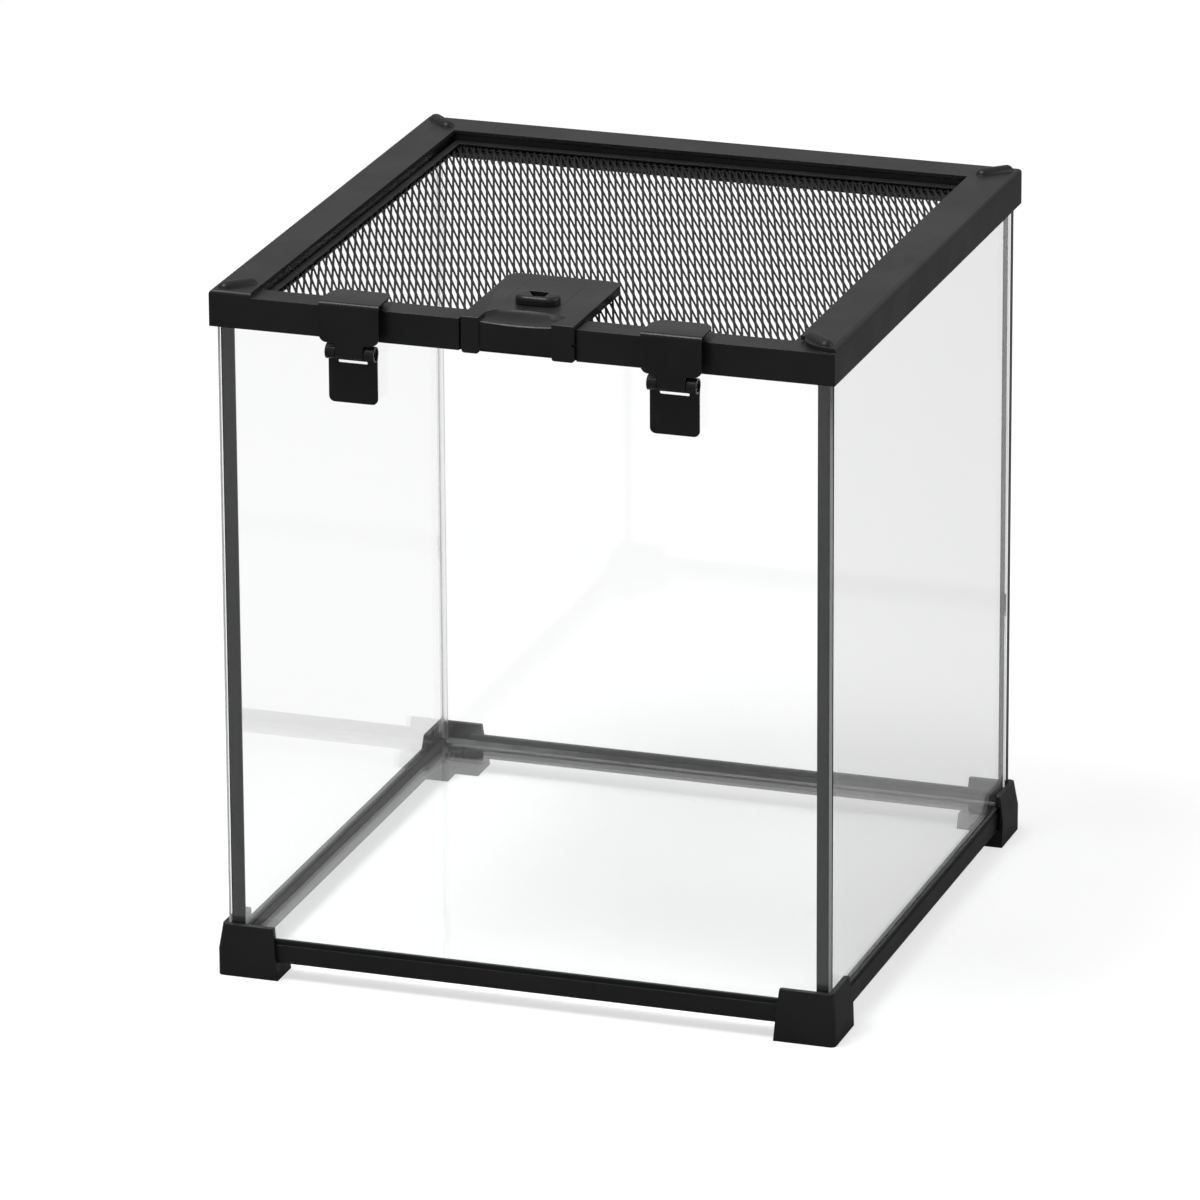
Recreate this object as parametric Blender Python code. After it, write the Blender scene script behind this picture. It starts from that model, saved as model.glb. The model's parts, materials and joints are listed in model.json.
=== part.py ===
"""A cube-shaped glass terrarium with a moulded top frame and a framed screen lid.

The origin is the middle of the footprint on the surface that it stands on. X runs across the front,
Y runs from the front to the back, and Z is up. All lengths are in metres.
"""

import math

import bmesh
import bpy
from mathutils import Matrix, Vector

MM = 0.001

# Overall size of the top frame, outer face to outer face, and the height of its raised rails.
WIDTH = 300 * MM
DEPTH = 300 * MM
HEIGHT = 336 * MM

# The gap kept between pieces that rest on, or in, each other.
FIT = 0.3 * MM

# Glass
GLASS = 4.5 * MM
GLASS_INSET = 3.0 * MM
FLOOR_GLASS = 4.0 * MM
BOND = 1.0 * MM
FILLET = 2.0 * MM

# Top frame
FRAME_BAND = 17.5 * MM
FRONT_STEP = 2.4 * MM
RAIL_SIDE = 20.7 * MM
RAIL_BACK = 21.0 * MM
RAIL_FRONT = 14.7 * MM
EDGE_ROUND = 2.2 * MM
LIP = 2.0 * MM
SIDE_UNDERCUT = 2.4 * MM
PLAIN_UNDERCUT = 0.2 * MM
LID_RECESS = 8.0 * MM
LEDGE_SIDE = 4.8 * MM
LEDGE_FRONT = 5.0 * MM
LEDGE_BACK = 29.0 * MM
LEDGE_THICK = 2.0 * MM
WALL = 2.2 * MM
FRONT_ROOF = 3.0 * MM
SKIRT_RISE = 1.6 * MM
NOTCH_DEPTH = 1.6 * MM
END_SWEEP = (15.0 * MM, 13.1 * MM)
END_REACH = 3.0 * MM
RIB_LENGTH = 20.0 * MM
RIB_WIDTH = 7.6 * MM
RIB_HEIGHT = 2.6 * MM
RIB_SINK = 1.2 * MM
RIB_INSET = 10.4 * MM

# Base strips
STRIP_BOTTOM = 9.4 * MM
STRIP_TOP = 20.3 * MM
STRIP_LIP = 3.7 * MM
STRIP_INSET = 0.8 * MM
STRIP_GROOVE = 0.6 * MM
STRIP_SHELF = 13.0 * MM
STRIP_SHELF_THICK = 2.2 * MM

# Feet
FOOT_HEIGHT = 25.0 * MM
FOOT_BREAK = 13.0 * MM
FOOT_OUT = 1.5 * MM
FOOT_DRAFT = 1.7 * MM
FOOT_ARM = 29.0 * MM
FOOT_ARM_TOP = 25.2 * MM
FOOT_DEPTH = 13.6 * MM
FOOT_ROUND = 2.6 * MM
FOOT_WALL = 2.4 * MM
FOOT_POCKET = 6.8 * MM

# Lid
LID_THICK = 3.0 * MM
LID_GAP_SIDE = 0.5 * MM
LID_GAP_FRONT = 0.4 * MM
LID_GAP_BACK = 1.0 * MM
EDGING_SIDE = 4.2 * MM
EDGING_FRONT = 5.4 * MM
EDGING_BACK = 5.0 * MM
EDGING_SHEET = 0.8 * MM
EDGING_CHAMFER = 0.5 * MM
PIVOT_INSET = 0.8 * MM

# Screen: an expanded metal sheet. The net here has fewer and larger cells than the real one.
SCREEN_THICK = 0.8 * MM
NET_THICK = 0.6 * MM
SCREEN_BORDER = 2.6 * MM
CELL_SHORT = 6.9 * MM
CELL_LONG = 88.0 * MM
CELL_SHORT_TURN = 16.2
CELL_LONG_TURN = 113.6
STRAND = 1.7 * MM

# Latch plate. Its places across the front are measured from the middle of the plate.
LATCH_X = 0.2 * MM
LATCH_WIDTH = 54.4 * MM
LATCH_REACH = 68.5 * MM
LATCH_TOP = 335.7 * MM
LATCH_ROUND = 6.0 * MM
LATCH_EDGE = 0.9 * MM
EAR_LEFT = 8.7 * MM
EAR_RIGHT = 11.2 * MM
EAR_OUT = 2.0 * MM
EAR_BOTTOM = 317.2 * MM
APRON_OUT = 1.1 * MM
APRON_TOP = 333.4 * MM
APRON_BOTTOM = 320.3 * MM
SCOOP_REACH = 14.0 * MM
SCOOP_RADIUS = 50.0 * MM
SCOOP_FALL = 1.2 * MM
SCOOP_SLOPE = 1.5 * MM
POCKET_ROOF = 1.8 * MM
POCKET_MARGIN = 6.0 * MM
NOTCH_GAP = 0.5 * MM

# Sliding lock
KNOB_WIDTH = 21.0 * MM
KNOB_DEPTH = 12.0 * MM
KNOB_HEIGHT = 4.4 * MM
KNOB_Y = 27.0 * MM
SLOT_X = -3.9 * MM
SLOT_WIDTH = 10.0 * MM
SLOT_FRONT = 23.2 * MM
LOCK_TRAVEL = 12.0 * MM
NECK_LENGTH = 8.4 * MM
BOLT_WIDTH = 18.0 * MM
BOLT_LENGTH = 24.0 * MM
BOLT_THICK = 1.4 * MM
PEG_RADIUS = 1.7 * MM

# Clips. Depths are measured forwards from the frame's front face.
CLIP_X = (-80.4 * MM, 73.7 * MM)
CLIP_SHEET = 0.9 * MM
CLIP_WIDTH = 29.4 * MM
CLIP_BACK = 23.4 * MM
CLIP_ROUND = 7.0 * MM
CLIP_BEND = 1.0 * MM
PLATE_BOTTOM = 319.6 * MM
PLATE_ROUND = 3.2 * MM
TONGUE_WIDTH = 13.6 * MM
TONGUE_ROUND = 1.2 * MM
PIN_HEIGHT = 313.4 * MM
PIN_RADIUS = 1.3 * MM
PIN_OVERHANG = 0.4 * MM
KNUCKLE_GAP = 0.35 * MM
LEVER_WIDTH = 24.4 * MM
LEVER_BOTTOM = 289.0 * MM
LEVER_ROUND = 2.6 * MM
LEVER_SLOT_BOTTOM = 308.2 * MM
RAIL_CLEARANCE = 0.4 * MM

# Sizes that follow from the ones above
FRAME_BOTTOM = HEIGHT - FRAME_BAND
FRONT_TOP = HEIGHT - FRONT_STEP
SEAT = HEIGHT - LID_RECESS
POCKET_TOP = FRONT_TOP - FRONT_ROOF
GLASS_BOTTOM = STRIP_BOTTOM + STRIP_SHELF_THICK + FIT
GLASS_TOP = POCKET_TOP - FIT
GLASS_BACK = GLASS_INSET + GLASS
FLOOR_TOP = GLASS_BOTTOM + FLOOR_GLASS
SEAL_BOTTOM = FLOOR_TOP + FIT + FILLET + FIT
SEAL_TOP = FRAME_BOTTOM + SKIRT_RISE - FIT
LID_BOTTOM = SEAT + FIT
LID_TOP = LID_BOTTOM + LID_THICK
LID_INSET = {
    "front": RAIL_FRONT + LID_GAP_FRONT,
    "right": RAIL_SIDE + LID_GAP_SIDE,
    "back": RAIL_BACK + LID_GAP_BACK,
    "left": RAIL_SIDE + LID_GAP_SIDE,
}
PIVOT = Vector((0, DEPTH / 2 - LID_INSET["back"] - PIVOT_INSET, LID_BOTTOM + LID_THICK / 2))
KNUCKLE_OUTER = PIN_RADIUS + FIT + CLIP_SHEET
PIN_Y = -(RAIL_CLEARANCE + KNUCKLE_OUTER)
SIDES = ("front", "right", "back", "left")
CORNERS = ("front_left", "front_right", "back_right", "back_left")


def clear_scene():
    for thing in list(bpy.data.objects):
        bpy.data.objects.remove(thing)


def make_material(name, colour, roughness, metallic=0.0, see_through=0.0):
    material = bpy.data.materials.new(name)
    material.use_nodes = True
    shader = material.node_tree.nodes["Principled BSDF"]
    shader.inputs["Base Color"].default_value = (*colour, 1.0)
    shader.inputs["Roughness"].default_value = roughness
    shader.inputs["Metallic"].default_value = metallic
    shader.inputs["Transmission Weight"].default_value = see_through
    return material


def arc(centre, radius, start, end, steps):
    """Points of a circular or, with a pair of radii, an elliptical arc, both ends included."""
    across, along = radius if isinstance(radius, tuple) else (radius, radius)
    turns = [math.radians(start + (end - start) * step / steps) for step in range(steps + 1)]
    return [Vector((centre[0] + across * math.cos(t), centre[1] + along * math.sin(t))) for t in turns]


def rounded_box(width, depth, radius, steps=5, centre=(0, 0)):
    """The outline of a rectangle with round corners."""
    points = []
    for turn, (side, end) in zip((0, 90, 180, 270), ((1, 1), (-1, 1), (-1, -1), (1, -1))):
        middle = (centre[0] + side * (width / 2 - radius), centre[1] + end * (depth / 2 - radius))
        points += arc(middle, radius, turn, turn + 90, steps)
    return points


def mesh_of(bm):
    bmesh.ops.recalc_face_normals(bm, faces=bm.faces)
    mesh = bpy.data.meshes.new("shape")
    bm.to_mesh(mesh)
    bm.free()
    return mesh


def loft(rings, closed=False):
    """A solid through rings of equal point counts, with flat ends unless it closes on itself."""
    bm = bmesh.new()
    rows = [[bm.verts.new(point) for point in ring] for ring in rings]
    count = len(rows[0])
    pairs = list(zip(rows, rows[1:]))
    if closed:
        pairs.append((rows[-1], rows[0]))
    for low, high in pairs:
        for here in range(count):
            there = (here + 1) % count
            bm.faces.new((low[here], low[there], high[there], high[here]))
    if not closed:
        bm.faces.new(rows[0])
        bm.faces.new(rows[-1])
    return mesh_of(bm)


def plan_prism(outline, bottom, top):
    """An outline in X and Y, raised from bottom to top."""
    return loft([[Vector((x, y, z)) for x, y in outline] for z in (bottom, top)])


def cross_prism(outline, left, right):
    """An outline in Y and Z, run along X from left to right."""
    return loft([[Vector((x, y, z)) for y, z in outline] for x in (left, right)])


def front_prism(outline, front, back):
    """An outline in X and Z, run along Y from front to back."""
    return loft([[Vector((x, y, z)) for x, z in outline] for y in (front, back)])


def box(low, high):
    outline = ((low[0], low[1]), (high[0], low[1]), (high[0], high[1]), (low[0], high[1]))
    return plan_prism(outline, low[2], high[2])


def mitred_ring(profiles, width=WIDTH, depth=DEPTH):
    """A ring round a rectangle. Each side has its own profile of (inset, height) points."""
    rings = []
    for first, second, x_sign, y_sign in (
        ("left", "front", -1, -1),
        ("right", "front", 1, -1),
        ("right", "back", 1, 1),
        ("left", "back", -1, 1),
    ):
        rings.append(
            [
                Vector((x_sign * (width / 2 - a[0]), y_sign * (depth / 2 - b[0]), a[1]))
                for a, b in zip(profiles[first], profiles[second])
            ]
        )
    return loft(rings, closed=True)


def combine(base, tool, operation="DIFFERENCE"):
    """The mesh of base after a Boolean with tool."""
    holders = []
    for name, mesh in (("base", base), ("tool", tool)):
        holder = bpy.data.objects.new(name, mesh)
        bpy.context.scene.collection.objects.link(holder)
        holders.append(holder)
    modifier = holders[0].modifiers.new("Boolean", "BOOLEAN")
    modifier.operation = operation
    modifier.object = holders[1]
    graph = bpy.context.evaluated_depsgraph_get()
    result = bpy.data.meshes.new_from_object(holders[0].evaluated_get(graph))
    for holder in holders:
        bpy.data.objects.remove(holder)
    return result


def moved(mesh, matrix):
    copy = mesh.copy()
    copy.transform(matrix)
    return copy


def sheet_outline(path, thickness):
    """The outline of a strip of sheet whose middle line runs along path, in Y and Z."""
    outer, inner = [], []
    for place, point in enumerate(path):
        before = (point - path[place - 1]).normalized() if place else None
        after = (path[place + 1] - point).normalized() if place + 1 < len(path) else before
        before = before or after
        run = (before + after).normalized()
        half = thickness / 2 / run.dot(before)
        outer.append(point + Vector((-run.y, run.x)) * half)
        inner.append(point - Vector((-run.y, run.x)) * half)
    return outer + inner[::-1]


def add(name, mesh, material, place=(0, 0, 0), parent=None, turn=0.0, smooth=35):
    """Puts a mesh, made round its own origin, in the scene as one named piece."""
    thing = bpy.data.objects.new(name, mesh)
    mesh.name = name
    mesh.materials.clear()
    mesh.materials.append(material)
    mesh.shade_smooth()
    mesh.set_sharp_from_angle(angle=math.radians(smooth))
    bpy.context.scene.collection.objects.link(thing)
    thing.rotation_euler.z = math.radians(turn)
    thing.location = Vector(place)
    if parent:
        thing.parent = parent
        thing.location = Vector(place) - parent.location
    return thing


def side_place(side, height=0.0):
    """The middle of a side's outer face, and the turn that makes local Y point inwards there."""
    at = {
        "front": ((0, -DEPTH / 2, height), 0),
        "right": ((WIDTH / 2, 0, height), 90),
        "back": ((0, DEPTH / 2, height), 180),
        "left": ((-WIDTH / 2, 0, height), 270),
    }
    return at[side]


def side_run(side):
    return WIDTH if side in ("front", "back") else DEPTH


def corner_place(corner):
    """A corner of the frame, and the turn that makes local X and Y run along its two sides."""
    index = CORNERS.index(corner)
    x_sign = -1 if corner.endswith("left") else 1
    y_sign = -1 if corner.startswith("front") else 1
    return (x_sign * WIDTH / 2, y_sign * DEPTH / 2, 0), 90 * index


def add_glass(material):
    """Front and back panes run the full width, and the side panes butt behind them."""
    butt = GLASS_BACK + FIT + BOND + FIT
    for side in SIDES:
        ends = GLASS_INSET if side in ("front", "back") else butt
        half = side_run(side) / 2 - ends
        pane = box((-half, 0, 0), (half, GLASS, GLASS_TOP - GLASS_BOTTOM))
        (x, y, z), turn = side_place(side, GLASS_BOTTOM)
        inwards = Matrix.Rotation(math.radians(turn), 3, "Z") @ Vector((0, GLASS_INSET, 0))
        add(side + "_glass", pane, material, Vector((x, y, z)) + inwards, turn=turn)
    edge = GLASS_BACK + FIT
    half_x = WIDTH / 2 - edge
    half_y = DEPTH / 2 - edge
    floor = box((-half_x, -half_y, 0), (half_x, half_y, FLOOR_GLASS))
    add("floor_glass", floor, material, (0, 0, GLASS_BOTTOM))


def add_seals(material):
    """Each corner bond lies between two panes and ends in a fillet inside the tank."""
    face = GLASS_BACK + FIT
    near = GLASS_INSET + FIT
    curve = arc((face + FILLET, face + BOND + FILLET), (FILLET, FILLET), 270, 180, 3)
    outline = [Vector((near, face)), Vector((face + FILLET, face))]
    outline += curve
    outline += [Vector((face, face + BOND)), Vector((near, face + BOND))]
    for corner in CORNERS:
        (x, y, z), turn = corner_place(corner)
        # The side pane butts behind the front or back pane, so two of the corners are mirrored.
        shape = outline if turn in (0, 180) else [Vector((p.y, p.x)) for p in outline]
        bond = plan_prism(shape, 0, SEAL_TOP - SEAL_BOTTOM)
        add("seal_" + corner, bond, material, (x, y, SEAL_BOTTOM), turn=turn)
    low = FLOOR_TOP + FIT
    bead = [(face, low), (face, low + FILLET), (face + FILLET, low)]
    add("floor_seal", mitred_ring({side: bead for side in SIDES}), material)


def add_base_strips(material):
    """Edge strips with a shelf under the glass and a groove below the top lip."""
    groove = STRIP_TOP - STRIP_LIP
    glass_side = GLASS_INSET - FIT
    shelf = STRIP_BOTTOM + STRIP_SHELF_THICK
    profile = [
        (STRIP_INSET, STRIP_BOTTOM),
        (STRIP_INSET, groove),
        (STRIP_INSET + STRIP_GROOVE, groove),
        (STRIP_INSET + STRIP_GROOVE, groove + STRIP_GROOVE),
        (STRIP_INSET + STRIP_GROOVE / 2, groove + STRIP_GROOVE),
        (STRIP_INSET + STRIP_GROOVE / 2, STRIP_TOP),
        (glass_side, STRIP_TOP),
        (glass_side, shelf),
        (STRIP_SHELF, shelf),
        (STRIP_SHELF, STRIP_BOTTOM),
    ]
    for side in SIDES:
        half = side_run(side) / 2 - FIT / 2
        rings = [
            [Vector((sign * (half - inset), inset, z)) for inset, z in profile] for sign in (-1, 1)
        ]
        place, turn = side_place(side)
        add("base_strip_" + side, loft(rings), material, place, turn=turn)


def foot_mesh():
    """An L-shaped corner foot with drafted walls, a seat for the strips and a hollow underside."""

    def ring(z, out, arm):
        points = arc((FOOT_ROUND - out, FOOT_ROUND - out), FOOT_ROUND, 180, 270, 4)
        points += [
            Vector((arm, -out)),
            Vector((arm, FOOT_DEPTH)),
            Vector((FOOT_DEPTH, FOOT_DEPTH)),
            Vector((FOOT_DEPTH, arm)),
            Vector((-out, arm)),
        ]
        return [Vector((x, y, z)) for x, y in points]

    middle_arm = FOOT_ARM + (FOOT_ARM_TOP - FOOT_ARM) * FOOT_BREAK / FOOT_HEIGHT
    foot = loft(
        [
            ring(0, FOOT_OUT, FOOT_ARM),
            ring(FOOT_BREAK, FOOT_OUT, middle_arm),
            ring(FOOT_HEIGHT, FOOT_OUT - FOOT_DRAFT, FOOT_ARM_TOP),
        ]
    )
    # The seat follows the strips up to their top and then the glass.
    strip = STRIP_INSET - FIT
    glass = GLASS_INSET - FIT
    seat = [
        (strip, STRIP_BOTTOM - FIT),
        (strip, STRIP_TOP + FIT),
        (glass, STRIP_TOP + FIT),
        (glass, FOOT_HEIGHT + LIP),
        (FOOT_DEPTH + LIP, FOOT_HEIGHT + LIP),
        (FOOT_DEPTH + LIP, STRIP_BOTTOM - FIT),
    ]
    reach = FOOT_ARM + WALL
    arms = [
        [Vector((reach, inset, z)) for inset, z in seat],
        [Vector((inset, inset, z)) for inset, z in seat],
        [Vector((inset, reach, z)) for inset, z in seat],
    ]
    foot = combine(foot, loft(arms))
    low = FOOT_WALL - FOOT_OUT
    high = FOOT_DEPTH - FOOT_WALL
    end = FOOT_ARM - 2 * FOOT_WALL
    hollow = [(low, low), (end, low), (end, high), (high, high), (high, end), (low, end)]
    return combine(foot, plan_prism(hollow, -FOOT_WALL, FOOT_POCKET))


def add_feet(material):
    foot = foot_mesh()
    for corner in CORNERS:
        place, turn = corner_place(corner)
        add("foot_" + corner, foot, material, place, turn=turn)


def frame_profile(rail, undercut, ledge):
    """The section of one rail as (inset, height) points, from its outer face inwards."""
    slot_out = GLASS_INSET - FIT
    slot_in = GLASS_BACK + FIT
    skirt = slot_in + WALL
    skirt_bottom = FRAME_BOTTOM + SKIRT_RISE
    inner = rail - undercut
    rounding = arc((EDGE_ROUND, HEIGHT - EDGE_ROUND), EDGE_ROUND, 180, 90, 4)
    points = [(0, FRAME_BOTTOM)] + [tuple(point) for point in rounding]
    points += [
        (rail, HEIGHT),
        (rail, HEIGHT - LIP),
        (inner, HEIGHT - LIP),
        (inner, SEAT),
        (rail + ledge, SEAT),
        (rail + ledge, SEAT - LEDGE_THICK),
        (inner - WALL, SEAT - LEDGE_THICK),
        (inner - WALL, POCKET_TOP),
        (skirt, POCKET_TOP),
        (skirt, skirt_bottom),
        (slot_in, skirt_bottom),
        (slot_in, POCKET_TOP),
        (slot_out, POCKET_TOP),
        (slot_out, FRAME_BOTTOM),
    ]
    return points


def front_step_outline():
    """Plan of what is cut down to the low front rail. Its right end sweeps round the raised rail."""
    left = -WIDTH / 2 + RAIL_SIDE - PLAIN_UNDERCUT
    right = WIDTH / 2
    front = -DEPTH / 2
    back = front + RAIL_FRONT
    sweep = arc((right - END_REACH, back), END_SWEEP, 270, 180, 8)
    inner = right - RAIL_SIDE
    return [
        Vector((left, front - WALL)),
        Vector((right + WALL, front - WALL)),
        Vector((right + WALL, sweep[0].y)),
        *sweep,
        Vector((inner - WALL / 2, back + WALL / 2)),
        Vector((left + WALL / 2, back + WALL / 2)),
        Vector((left, back)),
    ]


def rib_mesh():
    """A soft capsule along X, set a little into the rail under it."""
    bm = bmesh.new()
    bmesh.ops.create_uvsphere(bm, u_segments=16, v_segments=9, radius=1)
    bmesh.ops.rotate(bm, verts=bm.verts, matrix=Matrix.Rotation(math.radians(90), 3, "Y"))
    straight = (RIB_LENGTH - RIB_WIDTH) / 2
    for vert in bm.verts:
        end = straight if vert.co.x > 0 else -straight
        vert.co.x = vert.co.x * RIB_WIDTH / 2 + end
        vert.co.y *= RIB_WIDTH / 2
        vert.co.z *= RIB_HEIGHT + RIB_SINK
    bmesh.ops.translate(bm, verts=bm.verts, vec=(0, 0, -RIB_SINK))
    return mesh_of(bm)


def add_top_frame(material):
    frame = mitred_ring(
        {
            "front": frame_profile(RAIL_FRONT, PLAIN_UNDERCUT, LEDGE_FRONT),
            "right": frame_profile(RAIL_SIDE, SIDE_UNDERCUT, LEDGE_SIDE),
            "back": frame_profile(RAIL_BACK, PLAIN_UNDERCUT, LEDGE_BACK),
            "left": frame_profile(RAIL_SIDE, SIDE_UNDERCUT, LEDGE_SIDE),
        }
    )
    frame = combine(frame, plan_prism(front_step_outline(), FRONT_TOP, HEIGHT + LIP))
    front = -DEPTH / 2
    half = LATCH_WIDTH / 2 + NOTCH_GAP
    notch = box(
        (LATCH_X - half, front - WALL, FRONT_TOP - NOTCH_DEPTH),
        (LATCH_X + half, front + RAIL_FRONT + WALL, HEIGHT),
    )
    frame = combine(frame, notch)
    rib = rib_mesh()
    for x_sign in (-1, 1):
        for y_sign in (-1, 1):
            place = (x_sign * (WIDTH / 2 - RIB_INSET), y_sign * (DEPTH / 2 - RIB_INSET), HEIGHT)
            turn = Matrix.Rotation(math.radians(45 * x_sign * y_sign), 4, "Z")
            frame = combine(frame, moved(rib, Matrix.Translation(place) @ turn), "UNION")
    add("top_frame", frame, material)


def add_lid_edging(material, hinge):
    """A rolled C-shaped edging that holds the screen in its slot."""
    widths = {"front": EDGING_FRONT, "right": EDGING_SIDE, "back": EDGING_BACK, "left": EDGING_SIDE}
    cut = EDGING_CHAMFER

    def profile(side):
        out = LID_INSET[side]
        inner = out + widths[side]
        return [
            (out, LID_BOTTOM + cut),
            (out, LID_TOP - cut),
            (out + cut, LID_TOP),
            (inner, LID_TOP),
            (inner, LID_TOP - EDGING_SHEET),
            (out + EDGING_SHEET, LID_TOP - EDGING_SHEET),
            (out + EDGING_SHEET, LID_BOTTOM + EDGING_SHEET),
            (inner, LID_BOTTOM + EDGING_SHEET),
            (inner, LID_BOTTOM),
            (out + cut, LID_BOTTOM),
        ]

    edging = mitred_ring({side: profile(side) for side in SIDES})
    add("lid_edging", moved(edging, Matrix.Translation(-PIVOT)), material, PIVOT, hinge)


def net_mesh(low, high):
    """Rhombic cells with a strand of equal width on every side, over a rectangle."""
    short = Vector((1, 0)) * CELL_SHORT
    long = Vector((1, 0)) * CELL_LONG
    short.rotate(Matrix.Rotation(math.radians(CELL_SHORT_TURN), 2))
    long.rotate(Matrix.Rotation(math.radians(CELL_LONG_TURN), 2))
    step_a = (long + short) / 2
    step_b = (short - long) / 2
    area = abs(step_a.x * step_b.y - step_a.y * step_b.x)
    open_a = 1 - STRAND * step_b.length / area
    open_b = 1 - STRAND * step_a.length / area
    middle = (Vector(low) + Vector(high)) / 2
    half = (Vector(high) - Vector(low)) / 2
    reach = int((half.x + half.y) * 2 / CELL_SHORT)
    margin = Vector((CELL_SHORT, CELL_LONG / 2))
    bm = bmesh.new()
    nodes = {}
    cells = 0

    def node(i, j):
        if (i, j) not in nodes:
            at = middle + step_a * i + step_b * j
            nodes[(i, j)] = bm.verts.new((at.x, at.y, 0))
        return nodes[(i, j)]

    for i in range(-reach, reach):
        for j in range(-reach, reach):
            centre = step_a * (i + 0.5) + step_b * (j + 0.5)
            if abs(centre.x) > half.x + margin.x or abs(centre.y) > half.y + margin.y:
                continue
            outer = [node(i, j), node(i + 1, j), node(i + 1, j + 1), node(i, j + 1)]
            inner = []
            for sign_a, sign_b in ((-1, -1), (1, -1), (1, 1), (-1, 1)):
                at = middle + centre + step_a * open_a / 2 * sign_a + step_b * open_b / 2 * sign_b
                inner.append(bm.verts.new((at.x, at.y, 0)))
            for here in range(4):
                there = (here + 1) % 4
                bm.faces.new((outer[here], outer[there], inner[there], inner[here]))
            cells += abs(centre.x) < half.x and abs(centre.y) < half.y
    raised = bmesh.ops.extrude_face_region(bm, geom=bm.faces[:], use_keep_orig=True)
    top = [item for item in raised["geom"] if isinstance(item, bmesh.types.BMVert)]
    bmesh.ops.translate(bm, verts=top, vec=(0, 0, NET_THICK))
    print("screen net:", cells, "cells with their middle inside the border")
    return mesh_of(bm)


def add_screen(material, hinge):
    """A flat border lies in the edging's slot, and the net fills it."""
    middle = LID_BOTTOM + LID_THICK / 2
    inset = {side: LID_INSET[side] + EDGING_SHEET + FIT for side in SIDES}
    low = (-WIDTH / 2 + inset["left"], -DEPTH / 2 + inset["front"])
    high = (WIDTH / 2 - inset["right"], DEPTH / 2 - inset["back"])
    thick = SCREEN_THICK / 2

    def profile(side):
        out = inset[side]
        wide = SCREEN_BORDER
        return [(out, -thick), (out, thick), (out + wide, thick), (out + wide, -thick)]

    border = mitred_ring({side: profile(side) for side in SIDES})
    net = moved(net_mesh(low, high), Matrix.Translation((0, 0, -NET_THICK / 2)))
    trim = SCREEN_BORDER / 2
    inner_low = (low[0] + trim, low[1] + trim, -SCREEN_THICK)
    inner_high = (high[0] - trim, high[1] - trim, SCREEN_THICK)
    net = combine(net, box(inner_low, inner_high), "INTERSECT")
    screen = combine(border, net, "UNION")
    at = Matrix.Translation(Vector((0, 0, middle)) - PIVOT)
    add("mesh_screen", moved(screen, at), material, PIVOT, hinge)


def scoop_cutter():
    """The thumb scoop: a sloping floor under a wall that leans back round an arc."""
    left = -LATCH_WIDTH / 2 + EAR_LEFT
    right = LATCH_WIDTH / 2 - EAR_RIGHT
    centre = (0, SCOOP_REACH - SCOOP_RADIUS)
    rim = arc(centre, SCOOP_RADIUS, 67, 108, 8)
    rim = [Vector((right, -2 * EAR_OUT))] + rim
    rim += [Vector((left, rim[-1].y * 0.6)), Vector((left, -2 * EAR_OUT))]
    back = SCOOP_REACH - SCOOP_SLOPE
    fall = LATCH_TOP - SCOOP_FALL - APRON_TOP
    floor, lip = [], []
    for point in rim:
        inner = Vector((point.x * 0.96, max(point.y - SCOOP_SLOPE, rim[0].y)))
        height = APRON_TOP + fall * max(inner.y + APRON_OUT, 0) / (back + APRON_OUT)
        floor.append(Vector((inner.x, inner.y, min(height, LATCH_TOP - SCOOP_FALL))))
        lip.append(Vector((point.x, point.y, LATCH_TOP)))
    above = [Vector((p.x, p.y, LATCH_TOP + LIP)) for p in lip]
    return loft([floor, lip, above])


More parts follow.
